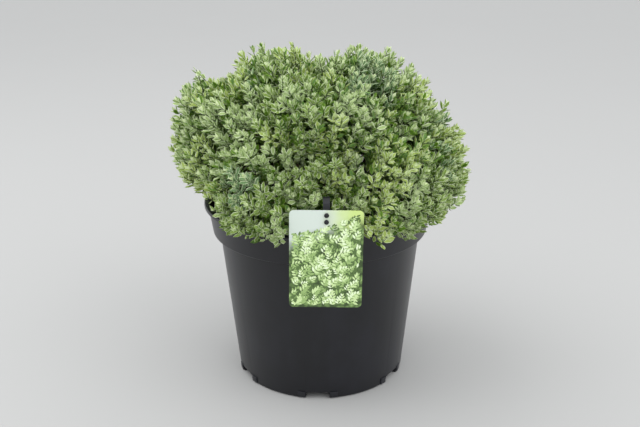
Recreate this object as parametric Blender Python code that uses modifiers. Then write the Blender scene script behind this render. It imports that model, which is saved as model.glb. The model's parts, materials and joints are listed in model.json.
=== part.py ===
"""Hebe shrub in its nursery pot: pot, potting mix, stem, boughs, leafy masses, and a label on its holder.

Units are metres and +Z is up. The origin is the middle of the pot's underside on the level it stands on,
and -Y is the front, where the label hangs.
"""

import math
import random
from dataclasses import dataclass

import bmesh
import bpy
from mathutils import Matrix, Vector

MM = 0.001
TOUCH = 0.3 * MM
CUT_TOLERANCE = 0.001 * MM

POT_HEIGHT = 205 * MM
POT_SIDES = 40
POT_WALL = 2.2 * MM
LIP_RADIUS = 130 * MM
LIP_DEPTH = 3.6 * MM
LIP_ROUND = 0.8 * MM
COLLAR_TOP_RADIUS = 125.6 * MM
COLLAR_FOOT_RADIUS = 121.2 * MM
COLLAR_FOOT_HEIGHT = 171.5 * MM
STEP_DROP = 3.5 * MM
INNER_STEP_RISE = 1.5 * MM
BODY_TOP_RADIUS = 113.4 * MM
BODY_FOOT_RADIUS = 96.1 * MM
FOOT_ROUND = 1.6 * MM
FOOT_RING_WIDTH = 6 * MM
FLOOR_UNDERSIDE = 10 * MM
FLOOR_THICKNESS = 2.5 * MM

NOTCH_COUNT = 6
NOTCH_WIDTH = 26 * MM
NOTCH_HEIGHT = 8.5 * MM
NOTCH_CORNER = 4 * MM
NOTCH_CORNER_STEPS = 3
NOTCH_TURN = math.radians(-2.3)
DRAIN_RADIUS = 6 * MM
DRAIN_SIDES = 12
DRAIN_RING = 58 * MM

MIX_TOP = 190 * MM
MIX_EDGE_TOP = 187 * MM
MIX_LEVEL_RADIUS = 30 * MM
MIX_CLEARANCE = 0.4 * MM

FLARE_RADIUS = 14 * MM
FLARE_BEND_RADIUS = 10.3 * MM
FLARE_BEND_HEIGHT = 3 * MM
FLARE_FADE_HEIGHT = 9 * MM
FLARE_LOBES = 5
FLARE_LOBE_DEPTH = 0.14
NECK_RADIUS = 8.5 * MM
NECK_FOOT_HEIGHT = 7.2 * MM
FORK_RADIUS = 15.5 * MM
FORK_HEIGHT = 23 * MM
FORK_STEPS = 6
TRUNK_SIDES = 15
TRUNK_LEAN = math.radians(4)
TRUNK_SUNK = 4 * MM

BOUGH_ROOT_RADIUS = 2.4 * MM
BOUGH_TIP_RADIUS = 1.6 * MM
BOUGH_BOW = 2 * MM
BOUGH_POINTS = 4
BOUGH_REACH = 52 * MM

REACH_BLEND = math.radians(13)
CREASE_WIDTH = math.radians(18)
CREASE_DEPTH = 10 * MM
TUCK_SPAN_DEG = 8
TUCK_DEPTH = 7 * MM
OUTLINE_SLACK = 2 * MM
MASS_SPACING = 1.2 * MM
CLEAR_OF_SOLIDS = 1.2 * MM

CORE_SUBDIVISIONS = 4
CORE_SEED = 4
CORE_DEPTH = 17 * MM
CORE_LUMP = 4 * MM
STEM_RADIUS = 1.7 * MM
STEM_CLEAR = 5 * MM
TWIG_ROOT_RADIUS = 1.6 * MM
TWIG_TAPER = 0.65
TWIG_SAMPLES = 12
BRANCHING = math.radians(40)

TYPICAL_REACH = 155 * MM
SHOOT_SPACING = 28.8 * MM
SHOOT_EDGE_MARGIN = 2 * MM

LEAF_LENGTH = 26 * MM
LEAF_WIDTH = 15 * MM
LEAF_THICKNESS = 1.5 * MM
LEAF_CUP = 2 * MM
LEAF_WIDEST_AT = 0.6
LEAF_THICKEST_AT = 0.5
LEAF_TURN_SPREAD_DEG = 7
LEAF_OPENING_SPREAD_DEG = 5
LEAF_SMALLEST = 0.93

CARD_WIDTH = 74 * MM
CARD_HEIGHT = 105 * MM
CARD_THICKNESS = 0.8 * MM
CARD_CORNER = 4.5 * MM
CARD_CENTRE = Vector((6 * MM, -133.6 * MM, 183.3 * MM))
CARD_TILT = math.radians(1.1)
PEG_SIDES = 10
PEG_RADIUS = 1.7 * MM
PEG_HEAD_RADIUS = 2.35 * MM
PEG_HEAD_DEPTH = 1.2 * MM
PEG_DROPS = (5 * MM, 12 * MM)

STRAP_WIDTH = 7 * MM
STRAP_THICKNESS = 1.6 * MM
STRAP_TOP = 247 * MM
STRAP_FRONT_FOOT = 212 * MM
STRAP_BACK_FOOT = 178 * MM
STRAP_BACK_TOP_Y = -118.5 * MM
STRAP_BACK_FOOT_Y = -114.5 * MM
STRAP_BEND_STEPS = 8

MIX_POCKET_MARGIN = 0.5 * MM


@dataclass(frozen=True)
class Mass:
    """One mass of foliage: its direction from the fork, how far it reaches, and how low its shoots grow."""

    name: str
    bearing_deg: float
    elevation_deg: float
    reach: float
    lowest_deg: float = -5

    def direction(self):
        bearing = math.radians(self.bearing_deg)
        elevation = math.radians(self.elevation_deg)
        level = math.cos(elevation)
        return Vector((level * math.cos(bearing), level * math.sin(bearing), math.sin(elevation)))


MASSES = (
    Mass("top_left", 168, 62, 172 * MM),
    Mass("top_right", 22, 67, 170 * MM),
    Mass("top_back", 94, 45, 163 * MM),
    Mass("top_front", -88, 53, 161 * MM),
    Mass("shoulder_left", 178, 35, 193 * MM),
    Mass("shoulder_right", 8, 48, 178 * MM),
    Mass("side_left", -171, 14, 174 * MM, lowest_deg=5),
    Mass("side_right", -9, 10, 172 * MM, lowest_deg=-6),
    Mass("front_left", -124, 11, 166 * MM, lowest_deg=-2),
    Mass("front_middle", -88, 21, 137 * MM),
    Mass("front_right", -51, 10, 167 * MM, lowest_deg=-3),
    Mass("back_left", 136, 10, 164 * MM),
    Mass("back_middle", 90, 10, 153 * MM),
    Mass("back_right", 42, 10, 166 * MM),
)


def clear_scene():
    for item in list(bpy.data.objects):
        bpy.data.objects.remove(item, do_unlink=True)


def new_collection(name):
    collection = bpy.data.collections.new(name)
    bpy.context.scene.collection.children.link(collection)
    return collection


def remove_collection(collection):
    for item in list(collection.objects):
        bpy.data.objects.remove(item, do_unlink=True)
    bpy.data.collections.remove(collection)


def new_material(name, colour, roughness):
    material = bpy.data.materials.new(name)
    material.use_nodes = True
    shader = material.node_tree.nodes["Principled BSDF"]
    shader.inputs["Base Color"].default_value = (*colour, 1.0)
    shader.inputs["Roughness"].default_value = roughness
    shader.inputs["Metallic"].default_value = 0.0
    return material


def mesh_object(name, bm, collection, material=None):
    mesh = bpy.data.meshes.new(name)
    bm.to_mesh(mesh)
    bm.free()
    item = bpy.data.objects.new(name, mesh)
    collection.objects.link(item)
    if material:
        mesh.materials.append(material)
    return item


def applied_mesh(item):
    """A new mesh of the object with its modifiers applied."""
    bpy.context.view_layer.update()
    graph = bpy.context.evaluated_depsgraph_get()
    return bpy.data.meshes.new_from_object(item.evaluated_get(graph))


def turned_object(name, profile, sides, collection, material):
    """A Screw about Z of a profile of (radius, height) that runs down its outer side."""
    bm = bmesh.new()
    points = [bm.verts.new((radius, 0, height)) for radius, height in profile]
    for start, end in zip(points, points[1:]):
        bm.edges.new((start, end))
    item = mesh_object(name, bm, collection, material)
    screw = item.modifiers.new("turn", "SCREW")
    screw.axis = "Z"
    screw.steps = sides
    screw.render_steps = sides
    screw.use_merge_vertices = True
    screw.merge_threshold = 0.01 * MM
    screw.use_smooth_shade = False
    return item


def collection_boolean(item, operands, operation):
    boolean = item.modifiers.new(operation.lower(), "BOOLEAN")
    boolean.operation = operation
    boolean.operand_type = "COLLECTION"
    boolean.collection = operands
    boolean.solver = "EXACT"
    return boolean


def as_cutter(item):
    item.hide_render = True
    item.display_type = "WIRE"
    return item


def pot_inside():
    """The pot's inner face from the middle of its floor to its rim, as (radius, height)."""
    floor_top = FLOOR_UNDERSIDE + FLOOR_THICKNESS
    foot = body_radius(floor_top) - POT_WALL
    return [
        (0, floor_top),
        (foot, floor_top),
        (BODY_TOP_RADIUS - POT_WALL, COLLAR_FOOT_HEIGHT - STEP_DROP + INNER_STEP_RISE),
        (COLLAR_FOOT_RADIUS - POT_WALL, COLLAR_FOOT_HEIGHT + INNER_STEP_RISE),
        (COLLAR_TOP_RADIUS - POT_WALL, POT_HEIGHT - LIP_ROUND),
    ]


def body_radius(height):
    """The outer radius of the pot's tapering body at a height."""
    share = height / (COLLAR_FOOT_HEIGHT - STEP_DROP)
    return BODY_FOOT_RADIUS + share * (BODY_TOP_RADIUS - BODY_FOOT_RADIUS)


def pot_outside():
    """The pot's rim and outer face, from the top of the lip down to the underside of the floor."""
    lip_foot = POT_HEIGHT - LIP_DEPTH
    ring_inner = BODY_FOOT_RADIUS - FOOT_ROUND - FOOT_RING_WIDTH
    return [
        (COLLAR_TOP_RADIUS - POT_WALL + LIP_ROUND, POT_HEIGHT),
        (LIP_RADIUS - LIP_ROUND, POT_HEIGHT),
        (LIP_RADIUS, POT_HEIGHT - LIP_ROUND),
        (LIP_RADIUS, lip_foot),
        (COLLAR_TOP_RADIUS, lip_foot - LIP_ROUND / 2),
        (COLLAR_FOOT_RADIUS, COLLAR_FOOT_HEIGHT),
        (COLLAR_FOOT_RADIUS - LIP_ROUND, COLLAR_FOOT_HEIGHT - LIP_ROUND),
        (BODY_TOP_RADIUS, COLLAR_FOOT_HEIGHT - STEP_DROP),
        (body_radius(FOOT_ROUND), FOOT_ROUND),
        (BODY_FOOT_RADIUS - FOOT_ROUND, 0),
        (ring_inner, 0),
        (ring_inner, FLOOR_UNDERSIDE),
        (0, FLOOR_UNDERSIDE),
    ]


def foot_notch(index, cutters):
    """A box with its upper edges bevelled, which cuts one notch through the foot ring."""
    bearing = -math.pi / 2 + NOTCH_TURN + index * math.tau / NOTCH_COUNT
    depth = FOOT_RING_WIDTH + 4 * FOOT_ROUND
    below = 2 * MM
    bm = bmesh.new()
    bmesh.ops.create_cube(bm, size=1)
    bmesh.ops.scale(bm, verts=bm.verts, vec=(depth, NOTCH_WIDTH, NOTCH_HEIGHT + below))
    upper = [
        edge
        for edge in bm.edges
        if all(corner.co.z > 0 for corner in edge.verts)
        and abs(edge.verts[0].co.y - edge.verts[1].co.y) < TOUCH
    ]
    bmesh.ops.bevel(
        bm, geom=upper, offset=NOTCH_CORNER, segments=NOTCH_CORNER_STEPS, profile=0.5, affect="EDGES"
    )
    cutter = as_cutter(mesh_object(f"notch_{index + 1}", bm, cutters))
    out = BODY_FOOT_RADIUS - FOOT_RING_WIDTH / 2
    cutter.location = (out * math.cos(bearing), out * math.sin(bearing), (NOTCH_HEIGHT - below) / 2)
    cutter.rotation_euler.z = bearing


def drain_hole(index, x, y, cutters):
    bm = bmesh.new()
    depth = 3 * FLOOR_THICKNESS
    bmesh.ops.create_cone(
        bm, cap_ends=True, segments=DRAIN_SIDES, radius1=DRAIN_RADIUS, radius2=DRAIN_RADIUS, depth=depth
    )
    cutter = as_cutter(mesh_object(f"drain_{index}", bm, cutters))
    cutter.location = (x, y, FLOOR_UNDERSIDE + FLOOR_THICKNESS / 2)


def build_pot(parts, material):
    cutters = new_collection("pot_cutters")
    for index in range(NOTCH_COUNT):
        foot_notch(index, cutters)
        bearing = (index + 0.5) * math.tau / NOTCH_COUNT
        drain_hole(index + 1, DRAIN_RING * math.cos(bearing), DRAIN_RING * math.sin(bearing), cutters)
    drain_hole(0, 0, 0, cutters)
    pot = turned_object("pot", pot_inside() + pot_outside(), POT_SIDES, parts, material)
    collection_boolean(pot, cutters, "DIFFERENCE")


def mix_profile():
    """The potting mix: a level middle, a slope to the wall, then the pot's inner face with a clearance."""
    wall = [(radius - MIX_CLEARANCE, height + MIX_CLEARANCE) for radius, height in pot_inside()[1:4]]
    foot, step_foot, step_top = wall
    collar_share = (MIX_EDGE_TOP - step_top[1]) / (POT_HEIGHT - step_top[1])
    edge_radius = step_top[0] + collar_share * (COLLAR_TOP_RADIUS - COLLAR_FOOT_RADIUS)
    return [
        (0, MIX_TOP),
        (MIX_LEVEL_RADIUS, MIX_TOP),
        (edge_radius, MIX_EDGE_TOP),
        step_top,
        step_foot,
        foot,
        (0, foot[1]),
    ]


def build_mix(parts, material):
    cutters = new_collection("mix_cutters")
    bm = bmesh.new()
    bmesh.ops.create_cube(bm, size=1)
    low_y = STRAP_BACK_TOP_Y - STRAP_THICKNESS
    high_y = STRAP_BACK_FOOT_Y + STRAP_THICKNESS
    low_z = STRAP_BACK_FOOT - MIX_POCKET_MARGIN
    size = (STRAP_WIDTH + 2 * MIX_POCKET_MARGIN, high_y - low_y, POT_HEIGHT - low_z)
    bmesh.ops.scale(bm, verts=bm.verts, vec=size)
    pocket = as_cutter(mesh_object("strap_pocket", bm, cutters))
    pocket.location = (strap_x(), (low_y + high_y) / 2, (POT_HEIGHT + low_z) / 2)
    mix = turned_object("potting_mix", mix_profile(), POT_SIDES, parts, material)
    collection_boolean(mix, cutters, "DIFFERENCE")


def fork_point():
    """The middle of the rounded head where the boughs part."""
    return Vector((FORK_HEIGHT * math.tan(TRUNK_LEAN), 0, MIX_TOP + FORK_HEIGHT))


def trunk_profile():
    """The stem about its own axis: head, neck and root flare, from the top down past the soil's level."""
    neck_top = FORK_HEIGHT - math.sqrt(FORK_RADIUS**2 - (NECK_RADIUS + MM) ** 2)
    start = math.acos((FORK_HEIGHT - neck_top) / FORK_RADIUS)
    arc = [(math.pi - start) * step / FORK_STEPS for step in range(FORK_STEPS + 1)]
    head = [(FORK_RADIUS * math.sin(angle), FORK_HEIGHT + FORK_RADIUS * math.cos(angle)) for angle in arc]
    lower = [
        (NECK_RADIUS, NECK_FOOT_HEIGHT),
        (FLARE_BEND_RADIUS, FLARE_BEND_HEIGHT),
        (FLARE_RADIUS, 0),
        (FLARE_RADIUS + MM, -TRUNK_SUNK),
        (0, -TRUNK_SUNK),
    ]
    return head + lower


def build_trunk(parts, material):
    """The short stem: turned, lobed at its flare, leaned, then cut flat just above the soil."""
    trunk = turned_object("trunk", trunk_profile(), TRUNK_SIDES, parts, material)
    mesh = applied_mesh(trunk)
    trunk.modifiers.clear()
    bm = bmesh.new()
    bm.from_mesh(mesh)
    for vert in bm.verts:
        fade = max(0.0, 1 - max(vert.co.z, 0) / FLARE_FADE_HEIGHT)
        swell = 1 + FLARE_LOBE_DEPTH * fade * math.cos(FLARE_LOBES * math.atan2(vert.co.y, vert.co.x))
        vert.co.x *= swell
        vert.co.y *= swell
    bmesh.ops.rotate(bm, verts=bm.verts, cent=(0, 0, 0), matrix=Matrix.Rotation(TRUNK_LEAN, 3, "Y"))
    bmesh.ops.translate(bm, verts=bm.verts, vec=(0, 0, MIX_TOP))
    cut_flat(bm, Vector((0, 0, MIX_TOP + TOUCH)), Vector((0, 0, -1)))
    bm.to_mesh(mesh)
    bm.free()
    trunk.data = mesh


def cut_flat(bm, point, outward):
    """Takes off what lies beyond a plane, and closes the cut."""
    geometry = list(bm.verts) + list(bm.edges) + list(bm.faces)
    bmesh.ops.bisect_plane(
        bm, geom=geometry, dist=CUT_TOLERANCE, plane_co=point, plane_no=outward, clear_outer=True
    )
    rim = [edge for edge in bm.edges if edge.is_boundary]
    if rim:
        bmesh.ops.holes_fill(bm, edges=rim, sides=0)


class Crown:
    """The crown's outline about the fork, and the cones that share its inside among the masses."""

    def __init__(self):
        self.fork = fork_point()
        self.directions = {mass: mass.direction() for mass in MASSES}

    def reach(self, direction):
        """How far the outline is from the fork along a direction.

        It blends the masses' reaches, with a crease where two masses meet and a tuck toward the rim below the
        lowest shoots.
        """
        angles = {mass: direction.angle(middle) for mass, middle in self.directions.items()}
        weights = {mass: math.exp(-((angle / REACH_BLEND) ** 2)) for mass, angle in angles.items()}
        total = sum(weights.values())
        reach = sum(weight * mass.reach for mass, weight in weights.items()) / total
        lowest = sum(weight * mass.lowest_deg for mass, weight in weights.items()) / total
        nearest, second = sorted(angles.values())[:2]
        crease = max(0.0, 1 - (second - nearest) / CREASE_WIDTH) ** 2
        elevation_deg = math.degrees(math.asin(direction.normalized().z))
        tuck = max(0.0, 1 - (elevation_deg - lowest) / TUCK_SPAN_DEG)
        return reach - CREASE_DEPTH * crease - TUCK_DEPTH * tuck

    def owner(self, direction):
        """The mass whose cone a direction lies in."""
        return max(self.directions, key=lambda mass: direction.dot(self.directions[mass]))

    def planes(self, mass):
        """The flat sides of a mass's cone, then the plane where its bough ends, as points and normals."""
        own = self.directions[mass]
        sides = []
        for other, direction in self.directions.items():
            if other is not mass:
                normal = (direction - own).normalized()
                sides.append((self.fork - normal * MASS_SPACING / 2, normal))
        sides.append((self.fork + own * (BOUGH_REACH + TOUCH), -own))
        return sides


def build_bough(mass, crown, parts, material):
    """One limb that leaves the trunk's head square, bows a little, tapers, and ends where its mass begins."""
    name = f"bough_{mass.name}"
    direction = crown.directions[mass]
    start = crown.fork + direction * (FORK_RADIUS + 2 * TOUCH)
    end = crown.fork + direction * BOUGH_REACH
    bow = direction.orthogonal().normalized() * BOUGH_BOW
    curve = bpy.data.curves.new(name, "CURVE")
    curve.dimensions = "3D"
    curve.bevel_depth = BOUGH_ROOT_RADIUS
    curve.bevel_resolution = 1
    curve.use_fill_caps = True
    spline = curve.splines.new("POLY")
    spline.points.add(BOUGH_POINTS - 1)
    for index, point in enumerate(spline.points):
        share = index / (BOUGH_POINTS - 1)
        point.co = (*(start.lerp(end, share) + bow * math.sin(math.pi * share)), 1)
        point.radius = 1 + share * (BOUGH_TIP_RADIUS / BOUGH_ROOT_RADIUS - 1)
    curve.materials.append(material)
    parts.objects.link(bpy.data.objects.new(name, curve))


class Space:
    """The room that one mass keeps to: its cone inside the crown's outline, off the pot and the label."""

    def __init__(self, mass, crown):
        self.crown = crown
        self.planes = crown.planes(mass)

    def holds(self, point, margin=0.0):
        """Whether a point, with a ball of this radius round it, is inside the space."""
        if any((point - place).dot(normal) > -margin for place, normal in self.planes):
            return False
        out = point - self.crown.fork
        if out.length > self.crown.reach(out) + OUTLINE_SLACK:
            return False
        return clear_of_pot(point, margin) and clear_of_label(point, margin)


def clear_of_pot(point, radius):
    margin = radius + CLEAR_OF_SOLIDS
    return point.z > POT_HEIGHT + margin or math.hypot(point.x, point.y) > LIP_RADIUS + margin


def clear_of_label(point, radius):
    """Keeps off the card with its pegs, and off the strap that carries it."""
    margin = radius + CLEAR_OF_SOLIDS
    beside_card = abs(point.x - CARD_CENTRE.x) > (CARD_WIDTH + CARD_CORNER) / 2 + margin
    past_card = abs(point.z - CARD_CENTRE.z) > (CARD_HEIGHT + CARD_CORNER) / 2 + margin
    off_card = abs(point.y - CARD_CENTRE.y) > CARD_THICKNESS + PEG_HEAD_DEPTH + margin
    beside_strap = abs(point.x - strap_x()) > STRAP_WIDTH / 2 + margin
    above_strap = point.z > STRAP_TOP + margin
    behind_strap = point.y > STRAP_BACK_FOOT_Y + STRAP_THICKNESS + margin
    return (beside_card or past_card or off_card) and (beside_strap or above_strap or behind_strap)


def golden_directions(count):
    """Even directions over a sphere on a golden-angle spiral, from the top down."""
    turn = math.pi * (3 - math.sqrt(5))
    for index in range(count):
        height = 1 - 2 * (index + 0.5) / count
        ring = math.sqrt(1 - height * height)
        yield Vector((ring * math.cos(index * turn), ring * math.sin(index * turn), height))


def frame_matrix(origin, x_axis, y_axis, z_axis):
    return Matrix.Translation(origin) @ Matrix((x_axis, y_axis, z_axis)).transposed().to_4x4()


def leaf_mesh():
    """A thin cupped leaf of eight faces along +Y, its root end at the origin."""
    bm = bmesh.new()
    bmesh.ops.create_uvsphere(bm, u_segments=4, v_segments=2, radius=1)
    for vert in bm.verts:
        x, y, z = (round(value) for value in vert.co)
        if x:
            vert.co = (x * LEAF_WIDTH / 2, LEAF_LENGTH * LEAF_WIDEST_AT, LEAF_CUP)
        elif y:
            vert.co = (0, LEAF_LENGTH if y > 0 else 0, LEAF_CUP / 2 if y > 0 else 0)
        else:
            vert.co = (0, LEAF_LENGTH * LEAF_THICKEST_AT, z * LEAF_THICKNESS / 2)
    mesh = bpy.data.meshes.new("leaf")
    bm.to_mesh(mesh)
    bm.free()
    return mesh


def twig_mesh():
    """A three-sided tapering twig of unit length and unit root radius along +Z."""
    bm = bmesh.new()
    bmesh.ops.create_cone(bm, cap_ends=True, segments=3, radius1=1, radius2=TWIG_TAPER, depth=1)
    bmesh.ops.translate(bm, verts=bm.verts, vec=(0, 0, 0.5))
    mesh = bpy.data.meshes.new("twig")
    bm.to_mesh(mesh)
    bm.free()
    return mesh


@dataclass(frozen=True)
class LeafPair:
    """Two opposite leaves: how far below the shoot's tip they sit, their opening, size and turn."""

    drop: float
    opening_deg: float
    size: float
    turn_deg: float

    def advance(self):
        """How far past the shoot's tip the leaves end."""
        return LEAF_LENGTH * self.size * math.cos(math.radians(self.opening_deg)) - self.drop


ROSETTE = (
    LeafPair(drop=7 * MM, opening_deg=66, size=1.0, turn_deg=0),
    LeafPair(drop=2.5 * MM, opening_deg=36, size=0.84, turn_deg=90),
)


def leaf_samples(mesh, placement):
    """Points all over a placed leaf: its corners, and points between each two of them."""
    corners = [placement @ vert.co for vert in mesh.vertices]
    samples = list(corners)
    for edge in mesh.edges:
        start, end = (corners[index] for index in edge.vertices)
        samples += [start.lerp(end, share) for share in (0.25, 0.5, 0.75)]
    return samples


class MassBuilder:
    """Makes one foliage mass: a stem, twigs that branch from it, crossed leaf pairs, and a lumpy core."""

    def __init__(self, mass, crown, leaf, twig, seed):
        self.mass = mass
        self.crown = crown
        self.direction = crown.directions[mass]
        self.space = Space(mass, crown)
        self.leaf = leaf
        self.twig = twig
        self.chance = random.Random(seed)
        self.operands = new_collection(f"{mass.name}_operands")

    def spread(self, most):
        return self.chance.uniform(-most, most)

    def stem_point(self, distance):
        return self.crown.fork + self.direction * distance

    def add_operand(self, mesh, placement):
        item = bpy.data.objects.new(f"piece_{len(self.operands.objects)}", mesh)
        item.matrix_world = placement
        self.operands.objects.link(item)

    def add_twig(self, start, end, root_radius):
        axis = end - start
        side = axis.orthogonal().normalized() * root_radius
        across = axis.normalized().cross(side)
        self.add_operand(self.twig, frame_matrix(start, side, across, axis))

    def twig_root(self, tip):
        """Where on the stem the twig to a tip branches off, at the branching angle."""
        out = tip - self.crown.fork
        along = out.dot(self.direction)
        across = (out - self.direction * along).length
        lowest = BOUGH_REACH + STEM_CLEAR
        return self.stem_point(max(lowest, along - across / math.tan(BRANCHING)))

    def add_shoot(self, toward):
        """One twig from the stem with its crossed leaf pairs, where the space has room for them."""
        tip = self.crown.fork + toward * (self.crown.reach(toward) - ROSETTE[-1].advance())
        root = self.twig_root(tip)
        along_twig = [tip.lerp(root, step / TWIG_SAMPLES) for step in range(TWIG_SAMPLES + 1)]
        has_room = self.space.holds(tip, SHOOT_EDGE_MARGIN)
        if not (has_room and all(clear_of_pot(point, TWIG_ROOT_RADIUS) for point in along_twig)):
            return
        placements = list(self.leaf_placements(tip, (tip - root).normalized()))
        if len(placements) < 2:
            return
        self.add_twig(root, tip, TWIG_ROOT_RADIUS)
        for placement in placements:
            self.add_operand(self.leaf, placement)

    def leaf_placements(self, tip, axis):
        """The places of a shoot's leaves that stay inside the space."""
        side = Matrix.Rotation(self.chance.uniform(0, math.tau), 3, axis) @ axis.orthogonal().normalized()
        for pair in ROSETTE:
            for half in (0, 180):
                turn_deg = pair.turn_deg + half + self.spread(LEAF_TURN_SPREAD_DEG)
                turn = math.radians(turn_deg)
                opening = math.radians(pair.opening_deg + self.spread(LEAF_OPENING_SPREAD_DEG))
                around = Matrix.Rotation(turn, 3, axis) @ side
                length = axis * math.cos(opening) + around * math.sin(opening)
                normal = axis * math.sin(opening) - around * math.cos(opening)
                size = pair.size * self.chance.uniform(LEAF_SMALLEST, 1.0)
                columns = (length.cross(normal) * size, length * size, normal * size)
                placement = frame_matrix(tip - axis * pair.drop, *columns)
                if all(self.space.holds(point) for point in leaf_samples(self.leaf, placement)):
                    yield placement

    def core(self):
        """The mass's share of a lumpy dome inside the leaves, cut back on every side where the space ends."""
        bm = bmesh.new()
        bmesh.ops.create_icosphere(bm, subdivisions=CORE_SUBDIVISIONS, radius=1)
        lumps = random.Random(CORE_SEED)
        for vert in bm.verts:
            toward = vert.co.normalized()
            depth = CORE_DEPTH + lumps.uniform(-CORE_LUMP, CORE_LUMP)
            vert.co = self.crown.fork + toward * (self.crown.reach(toward) - depth)
        for place, normal in self.space.planes:
            cut_flat(bm, place, normal)
        cut_flat(bm, Vector((0, 0, POT_HEIGHT + 2 * CLEAR_OF_SOLIDS)), Vector((0, 0, -1)))
        strap_top = Vector((strap_x(), STRAP_BACK_TOP_Y, STRAP_TOP))
        if self.crown.owner(strap_top - self.crown.fork) is self.mass:
            strap_back = STRAP_BACK_FOOT_Y + STRAP_THICKNESS + CLEAR_OF_SOLIDS
            cut_flat(bm, Vector((0, strap_back, 0)), Vector((0, -1, 0)))
        bmesh.ops.triangulate(bm, faces=bm.faces)
        return bm

    def build(self, parts, material):
        sphere = 4 * math.pi * TYPICAL_REACH**2
        lowest = math.sin(math.radians(self.mass.lowest_deg))
        for toward in golden_directions(round(sphere / SHOOT_SPACING**2)):
            if self.crown.owner(toward) is self.mass and toward.z > lowest:
                self.add_shoot(toward)
        stem_end = self.mass.reach - CORE_DEPTH - STEM_CLEAR
        self.add_twig(self.stem_point(BOUGH_REACH + TOUCH), self.stem_point(stem_end), STEM_RADIUS)
        item = mesh_object(f"foliage_{self.mass.name}", self.core(), parts, material)
        collection_boolean(item, self.operands, "UNION")
        mesh = applied_mesh(item)
        item.modifiers.clear()
        keep_one_body(mesh)
        item.data = mesh
        remove_collection(self.operands)


def islands(bm):
    """The separate bodies of a mesh, each as its set of faces."""
    left = set(bm.faces)
    while left:
        body = {left.pop()}
        front = list(body)
        while front:
            for edge in front.pop().edges:
                for face in edge.link_faces:
                    if face in left:
                        left.discard(face)
                        body.add(face)
                        front.append(face)
        yield body


def keep_one_body(mesh):
    """Drops loose scraps and the walls of sealed hollows, so that the largest body is left, solid."""
    bm = bmesh.new()
    bm.from_mesh(mesh)
    bodies = sorted(islands(bm), key=len)
    scraps = [face for body in bodies[:-1] for face in body]
    bmesh.ops.delete(bm, geom=scraps, context="FACES")
    bmesh.ops.triangulate(bm, faces=bm.faces)
    bm.to_mesh(mesh)
    bm.free()


def add_spline(curve, points):
    spline = curve.splines.new("POLY")
    spline.points.add(len(points) - 1)
    for point, (x, y) in zip(spline.points, points):
        point.co = (x, y, 0, 1)
    spline.use_cyclic_u = True


def ring_points(radius, count, x, y):
    turns = [math.tau * index / count for index in range(count)]
    return [(x + radius * math.cos(turn), y + radius * math.sin(turn)) for turn in turns]


def rounded_rectangle(width, height, corner, steps=4):
    """Points round a rectangle whose corners are arcs."""
    points = []
    for quarter, (sign_x, sign_y) in enumerate(((1, 1), (-1, 1), (-1, -1), (1, -1))):
        x = sign_x * (width / 2 - corner)
        y = sign_y * (height / 2 - corner)
        for step in range(steps + 1):
            turn = (quarter + step / steps) * math.pi / 2
            points.append((x + corner * math.cos(turn), y + corner * math.sin(turn)))
    return points


def card_turn():
    """Stands a shape drawn in XY upright, facing the front, with the card's slight tilt."""
    return Matrix.Rotation(CARD_TILT, 4, "Y") @ Matrix.Rotation(math.pi / 2, 4, "X")


def peg_places():
    """The middles of the card's two peg holes."""
    for drop in PEG_DROPS:
        yield CARD_CENTRE + card_turn() @ Vector((0, CARD_HEIGHT / 2 - drop, 0))


def strap_x():
    return sum(place.x for place in peg_places()) / len(PEG_DROPS)


def build_card(parts, material):
    curve = bpy.data.curves.new("label_card", "CURVE")
    curve.dimensions = "2D"
    curve.fill_mode = "BOTH"
    curve.extrude = CARD_THICKNESS / 2
    add_spline(curve, rounded_rectangle(CARD_WIDTH, CARD_HEIGHT, CARD_CORNER))
    for drop in PEG_DROPS:
        add_spline(curve, ring_points(PEG_RADIUS + TOUCH, PEG_SIDES, 0, CARD_HEIGHT / 2 - drop))
    curve.materials.append(material)
    card = bpy.data.objects.new("label_card", curve)
    card.matrix_world = Matrix.Translation(CARD_CENTRE) @ card_turn()
    parts.objects.link(card)


def strap_line():
    """The strap's middle line as (y, z): up inside the rim, over in a half turn, and down behind the card."""
    front_y = CARD_CENTRE.y + CARD_THICKNESS / 2 + TOUCH + STRAP_THICKNESS / 2
    bend = (STRAP_BACK_TOP_Y - front_y) / 2
    middle_y = (STRAP_BACK_TOP_Y + front_y) / 2
    bend_z = STRAP_TOP - STRAP_THICKNESS / 2 - bend
    over = [math.pi * step / STRAP_BEND_STEPS for step in range(STRAP_BEND_STEPS + 1)]
    arc = [(middle_y + bend * math.cos(turn), bend_z + bend * math.sin(turn)) for turn in over]
    return [(STRAP_BACK_FOOT_Y, STRAP_BACK_FOOT)] + arc + [(front_y, STRAP_FRONT_FOOT)]


def build_holder(parts, material):
    """The strap as an open ribbon with thickness, joined to the two pegs that carry the card."""
    line = strap_line()
    bm = bmesh.new()
    points = [bm.verts.new((-STRAP_WIDTH / 2, y, z)) for y, z in line]
    edges = [bm.edges.new(pair) for pair in zip(points, points[1:])]
    widened = bmesh.ops.extrude_edge_only(bm, edges=edges)["geom"]
    moved = [vert for vert in widened if isinstance(vert, bmesh.types.BMVert)]
    bmesh.ops.translate(bm, verts=moved, vec=(STRAP_WIDTH, 0, 0))
    bmesh.ops.recalc_face_normals(bm, faces=bm.faces)
    bmesh.ops.translate(bm, verts=bm.verts, vec=(strap_x(), 0, 0))
    holder = mesh_object("label_holder", bm, parts, material)
    thick = holder.modifiers.new("thickness", "SOLIDIFY")
    thick.thickness = STRAP_THICKNESS
    thick.offset = 0
    pegs = new_collection("peg_operands")
    for index, place in enumerate(peg_places()):
        add_peg(pegs, index, place)
    collection_boolean(holder, pegs, "UNION")
    mesh = applied_mesh(holder)
    holder.modifiers.clear()
    keep_one_body(mesh)
    holder.data = mesh
    remove_collection(pegs)


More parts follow.
